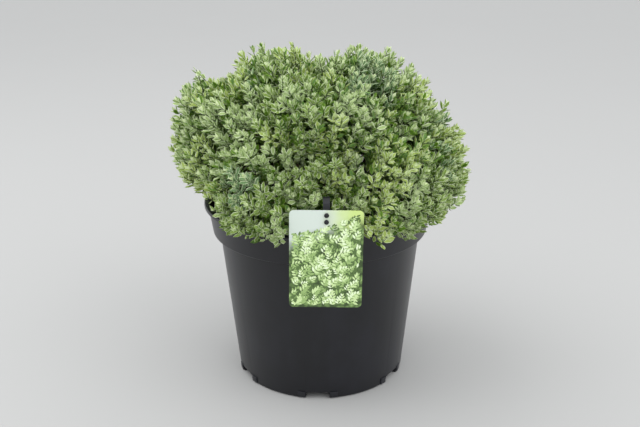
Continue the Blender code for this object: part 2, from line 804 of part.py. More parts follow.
def add_peg(pegs, index, place):
    """A pin with a wider head, along Y, from inside the strap to just in front of the card."""
    front = CARD_THICKNESS / 2 + TOUCH
    back = CARD_THICKNESS / 2 + TOUCH + STRAP_THICKNESS / 2
    for part, radius, low, high in (
        ("pin", PEG_RADIUS, -front - PEG_HEAD_DEPTH / 2, back),
        ("head", PEG_HEAD_RADIUS, -front - PEG_HEAD_DEPTH, -front),
    ):
        bm = bmesh.new()
        bmesh.ops.create_cone(
            bm, cap_ends=True, segments=PEG_SIDES, radius1=radius, radius2=radius, depth=high - low
        )
        item = mesh_object(f"peg_{part}_{index}", bm, pegs)
        item.rotation_euler.x = math.pi / 2
        item.location = place + Vector((0, (low + high) / 2, 0))


def main():
    clear_scene()
    parts = new_collection("hebe_shrub")
    pot_black = new_material("pot_black", (0.035, 0.036, 0.039), 0.5)
    potting_mix = new_material("potting_mix", (0.035, 0.024, 0.016), 0.95)
    bark = new_material("bark", (0.11, 0.075, 0.045), 0.85)
    leaf_green = new_material("leaf_green", (0.17, 0.235, 0.09), 0.6)
    card_print = new_material("card_print", (0.45, 0.6, 0.3), 0.35)
    holder_black = new_material("holder_black", (0.02, 0.02, 0.022), 0.45)

    build_pot(parts, pot_black)
    build_mix(parts, potting_mix)
    build_trunk(parts, bark)
    build_card(parts, card_print)
    build_holder(parts, holder_black)

    crown = Crown()
    leaf = leaf_mesh()
    twig = twig_mesh()
    for seed, mass in enumerate(MASSES):
        build_bough(mass, crown, parts, bark)
        MassBuilder(mass, crown, leaf, twig, seed).build(parts, leaf_green)


if __name__ == "__main__":
    main()
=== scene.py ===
"""Looks for a hebe shrub in its nursery pot: leaves, twigs, bark, pot, potting mix, label and holder.

Lengths are metres, +Z is up and -Y is the front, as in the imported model.
"""

import json
import logging
import math
from dataclasses import dataclass
from enum import Enum
from typing import Iterable, Sequence, Union

import bmesh
import bpy
import numpy as np
from mathutils import Matrix, Vector, noise

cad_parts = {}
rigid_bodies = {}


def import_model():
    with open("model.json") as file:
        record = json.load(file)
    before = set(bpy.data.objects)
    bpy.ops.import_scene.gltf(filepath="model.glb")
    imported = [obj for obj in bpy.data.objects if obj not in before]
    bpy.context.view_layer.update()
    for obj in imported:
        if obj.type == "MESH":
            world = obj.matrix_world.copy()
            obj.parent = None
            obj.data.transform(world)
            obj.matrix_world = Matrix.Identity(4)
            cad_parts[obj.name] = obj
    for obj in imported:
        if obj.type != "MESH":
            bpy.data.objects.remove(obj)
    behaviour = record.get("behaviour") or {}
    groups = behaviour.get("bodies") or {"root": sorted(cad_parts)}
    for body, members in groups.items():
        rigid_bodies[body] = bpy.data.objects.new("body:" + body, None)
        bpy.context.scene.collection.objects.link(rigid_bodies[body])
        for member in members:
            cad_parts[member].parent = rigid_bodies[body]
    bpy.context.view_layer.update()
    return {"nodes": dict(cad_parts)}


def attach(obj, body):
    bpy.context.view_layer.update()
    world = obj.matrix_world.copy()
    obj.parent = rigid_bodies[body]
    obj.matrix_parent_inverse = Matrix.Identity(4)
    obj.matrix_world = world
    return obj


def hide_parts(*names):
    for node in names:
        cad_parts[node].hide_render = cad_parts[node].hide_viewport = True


MM = 0.001
BODY = "root"
LOG = logging.getLogger("hebe")

Colour = tuple[float, float, float]
Operand = Union["Wire", float, int]


def linear(red: int, green: int, blue: int) -> Colour:
    """Turns a display colour into scene-linear values.

    Args:
        red: Red from 0 to 255.
        green: Green from 0 to 255.
        blue: Blue from 0 to 255.

    Returns:
        The three linear values.
    """
    shares = (value / 255 for value in (red, green, blue))
    return tuple(share / 12.92 if share <= 0.04045 else ((share + 0.055) / 1.055) ** 2.4 for share in shares)


class Wire:
    """A shader value on which Python arithmetic adds Math nodes."""

    def __init__(self, graph: "Graph", socket: bpy.types.NodeSocket) -> None:
        """Holds an output socket of a graph."""
        self.graph = graph
        self.socket = socket

    def _math(self, operation: str, first: Operand, second: Operand) -> "Wire":
        """Adds one Math node on two values."""
        return self.graph.node("ShaderNodeMath", {"operation": operation}, {0: first, 1: second})

    def __add__(self, other: Operand) -> "Wire":
        """Self plus other."""
        return self._math("ADD", self, other)

    __radd__ = __add__

    def __mul__(self, other: Operand) -> "Wire":
        """Self times other."""
        return self._math("MULTIPLY", self, other)

    __rmul__ = __mul__

    def __sub__(self, other: Operand) -> "Wire":
        """Self minus other."""
        return self._math("SUBTRACT", self, other)

    def __rsub__(self, other: Operand) -> "Wire":
        """Other minus self."""
        return self._math("SUBTRACT", other, self)


class Graph:
    """One material's nodes, with the Principled shader that its surface uses."""

    def __init__(self, name: str) -> None:
        """Makes the material and keeps its node tree."""
        self.material = bpy.data.materials.new(name)
        self.material.use_nodes = True
        self.tree = self.material.node_tree
        self.shader = self.tree.nodes["Principled BSDF"]

    def node(self, kind: str, settings: dict, inputs: dict, output: Union[int, str] = 0) -> Wire:
        """Adds a node.

        Args:
            kind: The node's type.
            settings: Its own settings, set first. A ramp's stops are given as "stops".
            inputs: Values or wires by socket name or index.
            output: The output socket to return.

        Returns:
            The output as a wire.
        """
        made = self.tree.nodes.new(kind)
        for key, value in settings.items():
            if key == "stops":
                self._set_stops(made.color_ramp, value)
            else:
                setattr(made, key, value)
        for key, value in inputs.items():
            if isinstance(value, Wire):
                self.tree.links.new(value.socket, made.inputs[key])
            else:
                made.inputs[key].default_value = value
        return Wire(self, made.outputs[output])

    @staticmethod
    def _set_stops(ramp: bpy.types.ColorRamp, stops: Sequence[tuple[float, Colour]]) -> None:
        """Gives a ramp its stops."""
        while len(ramp.elements) < len(stops):
            ramp.elements.new(1.0)
        for element, (place, colour) in zip(ramp.elements, stops):
            element.position = place
            element.color = (*colour, 1.0)

    def place(self) -> Wire:
        """Object coordinates."""
        return self.node("ShaderNodeTexCoord", {}, {}, "Object")

    def stretched(self, scale: tuple[float, float, float]) -> Wire:
        """Object coordinates scaled along each axis."""
        return self.node("ShaderNodeMapping", {}, {"Vector": self.place(), "Scale": scale})

    def noise(self, vector: Wire, scale: float, detail: float = 3.0, roughness: float = 0.5) -> Wire:
        """A noise value from 0 to 1.

        Args:
            vector: Where it is read.
            scale: Its frequency.
            detail: Its octaves.
            roughness: How strong the finer octaves are.

        Returns:
            The noise as a wire.
        """
        inputs = {"Vector": vector, "Scale": scale, "Detail": detail, "Roughness": roughness}
        return self.node("ShaderNodeTexNoise", {}, inputs, "Fac")

    def band(self, value: Wire, start: float, end: float, low: float = 0.0, high: float = 1.0) -> Wire:
        """Maps a value smoothly from one range onto another.

        Args:
            value: The value.
            start: Where the result is low.
            end: Where the result is high.
            low: The result at the start.
            high: The result at the end.

        Returns:
            The mapped value.
        """
        settings = {"interpolation_type": "SMOOTHSTEP"}
        return self.node("ShaderNodeMapRange", settings, {0: value, 1: start, 2: end, 3: low, 4: high})

    def mix(self, factor: Operand, first: Union[Wire, Colour], second: Union[Wire, Colour]) -> Wire:
        """Mixes two colours.

        Args:
            factor: The share of the second.
            first: A colour or a colour wire.
            second: A colour or a colour wire.

        Returns:
            The mixed colour.
        """
        one, two = (value if isinstance(value, Wire) else (*value, 1.0) for value in (first, second))
        return self.node("ShaderNodeMix", {"data_type": "RGBA"}, {0: factor, 6: one, 7: two}, 2)

    def bump(self, height: Wire, strength: float, distance: float) -> None:
        """Feeds a height to the shader's normal."""
        inputs = {"Height": height, "Strength": strength, "Distance": distance}
        self.feed("Normal", self.node("ShaderNodeBump", {}, inputs))

    def feed(self, socket: str, value: Union[Wire, float, tuple]) -> None:
        """Links a wire to one of the shader's sockets, or sets it to a constant."""
        if isinstance(value, Wire):
            self.tree.links.new(value.socket, self.shader.inputs[socket])
        else:
            self.shader.inputs[socket].default_value = value


@dataclass(frozen=True)
class MouldedPlastic:
    """Satin moulded plastic with faint streaks down it and a little dust."""

    name: str
    base: Colour
    dusty: Colour
    low_roughness: float
    high_roughness: float

    def material(self) -> bpy.types.Material:
        """Builds the material."""
        graph = Graph(self.name)
        streaks = graph.noise(graph.stretched((70, 70, 5)), 1.0, 4)
        clouds = graph.noise(graph.place(), 14, 4, 0.6)
        dust = graph.band(clouds * 0.7 + streaks * 0.3, 0.42, 0.7)
        graph.feed("Base Color", graph.mix(dust, self.base, self.dusty))
        spread = self.high_roughness - self.low_roughness
        graph.feed("Roughness", self.low_roughness + (clouds * 0.5 + streaks * 0.5) * spread)
        graph.bump(graph.noise(graph.place(), 900, 2), 0.12, 0.2 * MM)
        return graph.material


@dataclass(frozen=True)
class PrintedCard:
    """A glossy card printed pale at its head and in mottled leafy greens below."""

    name: str
    head: Colour
    glow: Colour
    light: Colour
    middle: Colour
    dark: Colour
    fade_from: float
    fade_to: float
    slope: float

    def material(self) -> bpy.types.Material:
        """Builds the material."""
        graph = Graph(self.name)
        warp = graph.noise(graph.place(), 160, 2)
        place = graph.node(
            "ShaderNodeVectorMath", {"operation": "MULTIPLY_ADD"}, {0: warp, 1: (0.006,) * 3, 2: graph.place()}
        )
        cells = graph.node("ShaderNodeTexVoronoi", {"feature": "F1"}, {"Vector": place, "Scale": 170}, "Distance")
        patches = graph.noise(graph.place(), 60, 3)
        tone = cells * 0.75 + patches * 0.6
        stops = ((0.3, self.light), (0.5, self.middle), (0.78, self.dark))
        leafy = graph.node("ShaderNodeValToRGB", {"stops": stops}, {0: tone})
        height = graph.node("ShaderNodeSeparateXYZ", {}, {0: graph.place()}, "Z")
        right = graph.node("ShaderNodeSeparateXYZ", {}, {0: graph.place()}, "X")
        fade = graph.band(height + patches * 0.03 - right * self.slope, self.fade_from, self.fade_to)
        head = graph.mix(graph.band(right + patches * 0.02, 0.01, 0.045), self.head, self.glow)
        graph.feed("Base Color", graph.mix(fade, leafy, head))
        graph.feed("Roughness", 0.32 + patches * 0.1)
        return graph.material


@dataclass(frozen=True)
class Crumbs:
    """Dark damp peat with flecks of bark."""

    name: str
    wet: Colour
    dry: Colour

    def material(self) -> bpy.types.Material:
        """Builds the material."""
        graph = Graph(self.name)
        grains = graph.noise(graph.place(), 420, 5, 0.65)
        patches = graph.noise(graph.place(), 60, 3)
        graph.feed("Base Color", graph.mix(graph.band(grains * 0.7 + patches * 0.3, 0.4, 0.66), self.wet, self.dry))
        graph.feed("Roughness", 0.8 + grains * 0.18)
        graph.bump(grains, 0.7, 1.2 * MM)
        return graph.material


@dataclass(frozen=True)
class Bark:
    """Grey-brown bark with ridges along the limb."""

    name: str
    furrow: Colour
    ridge: Colour

    def material(self) -> bpy.types.Material:
        """Builds the material."""
        graph = Graph(self.name)
        ridges = graph.noise(graph.stretched((3, 3, 0.7)), 260, 5, 0.6)
        patches = graph.noise(graph.place(), 90, 3)
        tone = graph.band(ridges * 0.7 + patches * 0.3, 0.36, 0.66)
        graph.feed("Base Color", graph.mix(tone, self.furrow, self.ridge))
        graph.feed("Roughness", 0.75 + patches * 0.2)
        graph.bump(ridges, 0.6, 0.6 * MM)
        return graph.material


@dataclass(frozen=True)
class PlainTone:
    """One even colour, for what is dealt out leaf by leaf."""

    name: str
    colour: Colour
    roughness: float = 0.5
    gloss: float = 0.4

    def material(self) -> bpy.types.Material:
        """Builds the material."""
        graph = Graph(self.name)
        graph.feed("Base Color", (*self.colour, 1.0))
        graph.feed("Roughness", self.roughness)
        graph.feed("Specular IOR Level", self.gloss)
        return graph.material


@dataclass(frozen=True)
class StudioPaper:
    """Matt pale paper for the floor."""

    name: str
    colour: Colour

    def material(self) -> bpy.types.Material:
        """Builds the material."""
        graph = Graph(self.name)
        fibres = graph.noise(graph.place(), 3, 3)
        shade = tuple(value * 0.985 for value in self.colour)
        graph.feed("Base Color", graph.mix(fibres, self.colour, shade))
        graph.feed("Roughness", 0.9)
        graph.feed("Specular IOR Level", 0.15)
        return graph.material


class LeafTone(Enum):
    """The tones of leaf blades and of their pale edges, in the order of the material slots. The two darkest blade
    tones and the dull edge are painted shade, for leaves deep in the crown and in its valleys.
    """

    SILVER = PlainTone("leaf_silver", linear(159, 181, 117))
    FRESH = PlainTone("leaf_fresh", linear(164, 184, 97))
    MIDDLE = PlainTone("leaf_middle", linear(134, 160, 76))
    # Painted shade: a dark blade tone for leaves deep in the crown and in its valleys.
    DEEP_SHADE = PlainTone("leaf_deep_shade", linear(88, 125, 26))
    BLUE = PlainTone("leaf_blue", linear(116, 147, 100))
    SHADE = PlainTone("leaf_shade", linear(96, 132, 66))
    BUD = PlainTone("leaf_bud", linear(211, 224, 175))
    PALE_EDGE = PlainTone("leaf_edge_pale", linear(224, 235, 198))
    # Painted shade: the edge of a leaf that takes a dark shade tone.
    SHADE_EDGE = PlainTone("leaf_edge_shade", linear(150, 178, 88))

    @property
    def slot(self) -> int:
        """The tone's place among the material slots."""
        return list(LeafTone).index(self)


def finish_piece(
    item: bpy.types.Object, materials: Iterable[bpy.types.Material], stands_for: Sequence[str] = ()
) -> bpy.types.Object:
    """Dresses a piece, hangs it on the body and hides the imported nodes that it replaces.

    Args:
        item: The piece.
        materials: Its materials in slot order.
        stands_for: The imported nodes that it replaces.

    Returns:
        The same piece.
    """
    for material in materials:
        item.data.materials.append(material)
    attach(item, BODY)
    if stands_for:
        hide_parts(*stands_for)
    return item


def linked(name: str, mesh: bpy.types.Mesh) -> bpy.types.Object:
    """Puts a mesh into the scene as an object at the origin."""
    item = bpy.data.objects.new(name, mesh)
    bpy.context.scene.collection.objects.link(item)
    return item


def from_bmesh(name: str, bm: bmesh.types.BMesh, sharp_deg: float = 40.0) -> bpy.types.Object:
    """Turns a bmesh into a smooth-shaded object with sharp corners kept.

    Args:
        name: The object's name.
        bm: The shape, which is freed.
        sharp_deg: Edges that bend more than this stay sharp.

    Returns:
        The object.
    """
    mesh = bpy.data.meshes.new(name)
    bm.to_mesh(mesh)
    bm.free()
    mesh.shade_smooth()
    mesh.set_sharp_from_angle(angle=math.radians(sharp_deg))
    return linked(name, mesh)


def turned(profile: Sequence[tuple[float, float]], steps: int) -> bmesh.types.BMesh:
    """Spins a profile of (radius, height) once about Z.

    Args:
        profile: Points that start and end on the axis.
        steps: How many steps the turn has.

    Returns:
        The closed shape.
    """
    bm = bmesh.new()
    points = [bm.verts.new((radius, 0, height)) for radius, height in profile]
    edges = [bm.edges.new(pair) for pair in zip(points, points[1:])]
    bmesh.ops.spin(
        bm,
        geom=points + edges,
        cent=(0, 0, 0),
        axis=(0, 0, 1),
        dvec=(0, 0, 0),
        angle=math.tau,
        steps=steps,
        use_merge=True,
    )
    bmesh.ops.remove_doubles(bm, verts=bm.verts, dist=0.001 * MM)
    bmesh.ops.recalc_face_normals(bm, faces=bm.faces)
    return bm


def eased(profile: Sequence[tuple[float, float]], radius: float, steps: int = 3) -> list[tuple[float, float]]:
    """Rounds the inner corners of a profile.

    Args:
        profile: The points.
        radius: How far from each corner the rounding starts, at most a third of a side.
        steps: Points in each rounding, less one.

    Returns:
        The points of the rounded profile.
    """
    rounded = [profile[0]]
    for before, corner, after in zip(profile, profile[1:], profile[2:]):
        here = Vector(corner)
        start, end = (Vector(point) - here for point in (before, after))
        first = here + start.normalized() * min(radius, start.length / 3)
        last = here + end.normalized() * min(radius, end.length / 3)
        for step in range(steps + 1):
            share = step / steps
            point = first * (1 - share) ** 2 + here * (2 * share * (1 - share)) + last * share**2
            rounded.append((point.x, point.y))
    rounded.append(profile[-1])
    return rounded


@dataclass
class NurseryPot:
    """The tapering pot with its lip, collar, step, foot notches and drain holes."""

    height: float = 205 * MM
    wall: float = 2.2 * MM
    lip_radius: float = 130 * MM
    lip_depth: float = 3.6 * MM
    collar_top: float = 125.6 * MM
    collar_foot: float = 121.2 * MM
    collar_foot_height: float = 171.5 * MM
    step_drop: float = 3.5 * MM
    body_top: float = 113.4 * MM
    body_foot: float = 96.1 * MM
    foot_round: float = 1.6 * MM
    ring_width: float = 6 * MM
    floor_underside: float = 10 * MM
    floor_thickness: float = 2.5 * MM
    notches: int = 6
    notch_width: float = 26 * MM
    notch_height: float = 8.5 * MM
    notch_turn_deg: float = -2.3
    drain_radius: float = 6 * MM
    drain_ring: float = 58 * MM
    pad_width: float = 9.5 * MM
    pad_height: float = 7.2 * MM
    pad_proud: float = 0.9 * MM
    pad_sunk: float = 1 * MM
    steps: int = 144

    def body_radius(self, height: float) -> float:
        """The body's outer radius at a height."""
        share = height / (self.collar_foot_height - self.step_drop)
        return self.body_foot + share * (self.body_top - self.body_foot)

    def profile(self) -> list[tuple[float, float]]:
        """The outline from the middle of the floor, up inside, over the lip and down to the underside."""
        edge = 0.8 * MM
        floor_top = self.floor_underside + self.floor_thickness
        inner_rise = 1.5 * MM
        lip_foot = self.height - self.lip_depth
        step_foot = self.collar_foot_height - self.step_drop
        ring_inner = self.body_foot - self.foot_round - self.ring_width
        inside = [
            (0, floor_top),
            (self.body_radius(floor_top) - self.wall, floor_top),
            (self.body_top - self.wall, step_foot + inner_rise),
            (self.collar_foot - self.wall, self.collar_foot_height + inner_rise),
            (self.collar_top - self.wall, self.height - edge),
            (self.collar_top - self.wall + edge, self.height),
        ]
        outside = [
            (self.lip_radius - edge, self.height),
            (self.lip_radius, self.height - edge),
            (self.lip_radius, lip_foot),
            (self.collar_top, lip_foot - edge / 2),
            (self.collar_foot, self.collar_foot_height),
            (self.collar_foot - edge, self.collar_foot_height - edge),
            (self.body_top, step_foot),
            (self.body_radius(self.foot_round), self.foot_round),
            (self.body_foot - self.foot_round, 0),
            (ring_inner, 0),
            (ring_inner, self.floor_underside),
            (0, self.floor_underside),
        ]
        return eased(inside + outside, 0.7 * MM)

    def cutters(self) -> bpy.types.Collection:
        """The notch blocks and drain plugs that are cut out of the pot."""
        folder = bpy.data.collections.new("pot_cutters")
        bpy.context.scene.collection.children.link(folder)
        below = 2 * MM
        for index in range(self.notches):
            bm = bmesh.new()
            bmesh.ops.create_cube(bm, size=1)
            size = (self.ring_width + 4 * self.foot_round, self.notch_width, self.notch_height + below)
            bmesh.ops.scale(bm, verts=bm.verts, vec=size)
            upper = [
                edge
                for edge in bm.edges
                if all(vert.co.z > 0 for vert in edge.verts)
                and abs(edge.verts[0].co.y - edge.verts[1].co.y) < MM
            ]
            bmesh.ops.bevel(
                bm, geom=upper, offset=4 * MM, segments=6, profile=0.5, affect="EDGES", material=-1
            )
            out = self.body_foot - self.ring_width / 2
            bmesh.ops.translate(bm, verts=bm.verts, vec=(out, 0, (self.notch_height - below) / 2))
            turn = -math.pi / 2 + math.radians(self.notch_turn_deg) + index * math.tau / self.notches
            bmesh.ops.rotate(bm, verts=bm.verts, cent=(0, 0, 0), matrix=Matrix.Rotation(turn, 3, "Z"))
            self.move_to(folder, from_bmesh(f"notch_{index}", bm))
        middles = [Vector((0, 0, 0))]
        for index in range(self.notches):
            turn = (index + 0.5) * math.tau / self.notches
            middles.append(Vector((math.cos(turn), math.sin(turn), 0)) * self.drain_ring)
        for index, middle in enumerate(middles):
            bm = bmesh.new()
            bmesh.ops.create_cone(
                bm,
                cap_ends=True,
                segments=32,
                radius1=self.drain_radius,
                radius2=self.drain_radius,
                depth=3 * self.floor_thickness,
            )
            height = self.floor_underside + self.floor_thickness / 2
            bmesh.ops.translate(bm, verts=bm.verts, vec=middle + Vector((0, 0, height)))
            self.move_to(folder, from_bmesh(f"drain_{index}", bm))
        return folder

    @staticmethod
    def move_to(folder: bpy.types.Collection, item: bpy.types.Object) -> None:
        """Moves an object from the scene's own collection to another."""
        bpy.context.scene.collection.objects.unlink(item)
        folder.objects.link(item)

    def pads(self) -> bpy.types.Object:
        """The shallow square pads on both sides of each notch, sunk into the leaning wall."""
        bm = bmesh.new()
        lean = math.atan((self.body_top - self.body_foot) / (self.collar_foot_height - self.step_drop))
        middle = self.foot_round + self.pad_height / 2
        out = self.body_radius(middle) + (self.pad_proud - self.pad_sunk) / 2
        aside = math.asin((self.notch_width + self.pad_width) / 2 / self.body_foot)
        for index in range(self.notches):
            for side in (-1, 1):
                made = bmesh.ops.create_cube(bm, size=1)["verts"]
                size = (self.pad_proud + self.pad_sunk, self.pad_width - MM, self.pad_height)
                bmesh.ops.scale(bm, verts=made, vec=size)
                edges = list({edge for vert in made for edge in vert.link_edges})
                rounded = bmesh.ops.bevel(
                    bm, geom=edges, offset=0.3 * MM, segments=2, profile=0.5, affect="EDGES", material=-1
                )["verts"]
                bmesh.ops.rotate(bm, verts=rounded, cent=(0, 0, 0), matrix=Matrix.Rotation(lean, 3, "Y"))
                bmesh.ops.translate(bm, verts=rounded, vec=(out, 0, middle))
                turn = math.radians(self.notch_turn_deg) + index * math.tau / self.notches + side * aside
                spin = Matrix.Rotation(turn - math.pi / 2, 3, "Z")
                bmesh.ops.rotate(bm, verts=rounded, cent=(0, 0, 0), matrix=spin)
        bmesh.ops.recalc_face_normals(bm, faces=bm.faces)
        return from_bmesh("foot_pads", bm)

    def build(self, finish: MouldedPlastic, pad_finish: MouldedPlastic) -> bpy.types.Object:
        """Builds and dresses the pot.

        Args:
            finish: The plastic.
            pad_finish: The plastic of the pads, a little paler than the pot's.

        Returns:
            The pot.
        """
        plastic = finish.material()
        finish_piece(self.pads(), [pad_finish.material()])
        pot = from_bmesh("pot_shell", turned(self.profile(), self.steps))
        folder = self.cutters()
        boolean = pot.modifiers.new("cuts", "BOOLEAN")
        boolean.operation = "DIFFERENCE"
        boolean.operand_type = "COLLECTION"
        boolean.collection = folder
        boolean.solver = "EXACT"
        bpy.context.view_layer.update()
        graph = bpy.context.evaluated_depsgraph_get()
        mesh = bpy.data.meshes.new_from_object(pot.evaluated_get(graph))
        pot.modifiers.clear()
        pot.data = mesh
        mesh.shade_smooth()
        mesh.set_sharp_from_angle(angle=math.radians(38))
        for cutter in list(folder.objects):
            bpy.data.objects.remove(cutter, do_unlink=True)
        bpy.data.collections.remove(folder)
        return finish_piece(pot, [plastic], ["pot"])


class JoinedMesh:
    """Many small pieces gathered as arrays and made into one mesh."""

    def __init__(self) -> None:
        """Starts empty."""
        self.points: list[np.ndarray] = []
        self.corners: list[np.ndarray] = []
        self.counts: list[np.ndarray] = []
        self.slots: list[np.ndarray] = []
        self.size = 0

    def add(self, points: np.ndarray, faces: Sequence[Sequence[int]], slots: np.ndarray) -> None:
        """Adds copies of one piece.

        Args:
            points: Copies by corners by three.
            faces: The piece's faces, as corner numbers.
            slots: Material slots, copies by faces.
        """
        copies, corners = points.shape[:2]
        flat = np.array([corner for face in faces for corner in face])
        starts = self.size + np.arange(copies)[:, None] * corners
        self.points.append(points.reshape(-1, 3))
        self.corners.append((starts + flat).ravel())
        self.counts.append(np.tile([len(face) for face in faces], copies))
        self.slots.append(np.broadcast_to(slots, (copies, len(faces))).ravel())
        self.size += copies * corners

    def build(self, name: str) -> bpy.types.Object:
        """Makes the object.

        Args:
            name: The object's name.

        Returns:
            The object, smooth-shaded.
        """
        points = np.concatenate(self.points)
        corners = np.concatenate(self.corners)
        counts = np.concatenate(self.counts)
        mesh = bpy.data.meshes.new(name)
        mesh.vertices.add(len(points))
        mesh.vertices.foreach_set("co", points.astype(np.float32).ravel())
        mesh.loops.add(len(corners))
        mesh.loops.foreach_set("vertex_index", corners.astype(np.int32))
        mesh.polygons.add(len(counts))
        mesh.polygons.foreach_set("loop_start", (np.cumsum(counts) - counts).astype(np.int32))
        mesh.polygons.foreach_set("loop_total", counts.astype(np.int32))
        mesh.polygons.foreach_set("material_index", np.concatenate(self.slots).astype(np.int32))
        mesh.polygons.foreach_set("use_smooth", np.ones(len(counts), dtype=bool))
        mesh.update(calc_edges=True)
        mesh.validate()
        return linked(name, mesh)


def unit(vectors: np.ndarray) -> np.ndarray:
    """Vectors scaled to length one."""
    return vectors / np.linalg.norm(vectors, axis=-1, keepdims=True)


def across(vectors: np.ndarray) -> np.ndarray:
    """A unit vector square to each vector."""
    least = np.eye(3)[np.argmin(np.abs(vectors), axis=-1)]
    return unit(np.cross(vectors, least))


def turned_about(vectors: np.ndarray, axes: np.ndarray, angles: np.ndarray) -> np.ndarray:
    """Vectors turned about unit axes that they are square to.

    Args:
        vectors: The vectors.
        axes: The axes.
        angles: The angles in radians.

    Returns:
        The turned vectors.
    """
    angles = angles[..., None]
    return vectors * np.cos(angles) + np.cross(axes, vectors) * np.sin(angles)


def tubes(paths: np.ndarray, radii: np.ndarray, sides: int) -> tuple[np.ndarray, list[list[int]]]:
    """Closed tubes along paths.

    Args:
        paths: Tubes by points by three.
        radii: Tubes by points.
        sides: Sides of each tube.

    Returns:
        The tubes' points, and the faces that they all share.
    """
    rings = paths.shape[1]
    tangents = unit(np.gradient(paths, axis=1))
    side = across(tangents[:, :1])
    side = unit(side - tangents * np.sum(side * tangents, axis=-1, keepdims=True))
    other = np.cross(tangents, side)
    turns = np.arange(sides) * math.tau / sides
    ring = side[:, :, None] * np.cos(turns)[:, None] + other[:, :, None] * np.sin(turns)[:, None]
    points = paths[:, :, None] + ring * radii[:, :, None, None]
    faces = []
    for level in range(rings - 1):
        for index in range(sides):
            after = (index + 1) % sides
            low = level * sides
            faces.append([low + index, low + after, low + sides + after, low + sides + index])
    faces.append(list(range(sides))[::-1])
    faces.append([(rings - 1) * sides + index for index in range(sides)])
    return points.reshape(len(paths), -1, 3), faces


def golden_directions(count: int, turn: float = 0.0) -> np.ndarray:
    """Even directions over a sphere on a golden-angle spiral.

    Args:
        count: How many.
        turn: How far the whole spiral is turned, in radians.

    Returns:
        The directions from the top down.
    """
    index = np.arange(count)
    height = 1 - 2 * (index + 0.5) / count
    ring = np.sqrt(1 - height**2)
    angle = index * math.pi * (3 - math.sqrt(5)) + turn
    return np.stack([ring * np.cos(angle), ring * np.sin(angle), height], axis=-1)


def aimed(bearing_deg: float, elevation_deg: float) -> np.ndarray:
    """The unit vector at a bearing from +X and an elevation."""
    bearing, elevation = math.radians(bearing_deg), math.radians(elevation_deg)
    level = math.cos(elevation)
    return np.array([level * math.cos(bearing), level * math.sin(bearing), math.sin(elevation)])


@dataclass(frozen=True)
class Mass:
    """One mass of foliage: its direction from the fork, how far it reaches, and how low its shoots grow."""

    name: str
    bearing_deg: float
    elevation_deg: float
    reach: float
    lowest_deg: float = -5

    def direction(self) -> np.ndarray:
        """The unit vector from the fork through the mass."""
        return aimed(self.bearing_deg, self.elevation_deg)


@dataclass(frozen=True)
class Hollow:
    """A shallow dip in the crown's outline, or a swelling if its depth is below zero."""

    bearing_deg: float
    elevation_deg: float
    width_deg: float
    depth: float

    def direction(self) -> np.ndarray:
        """The unit vector from the fork through the hollow's middle."""
        return aimed(self.bearing_deg, self.elevation_deg)


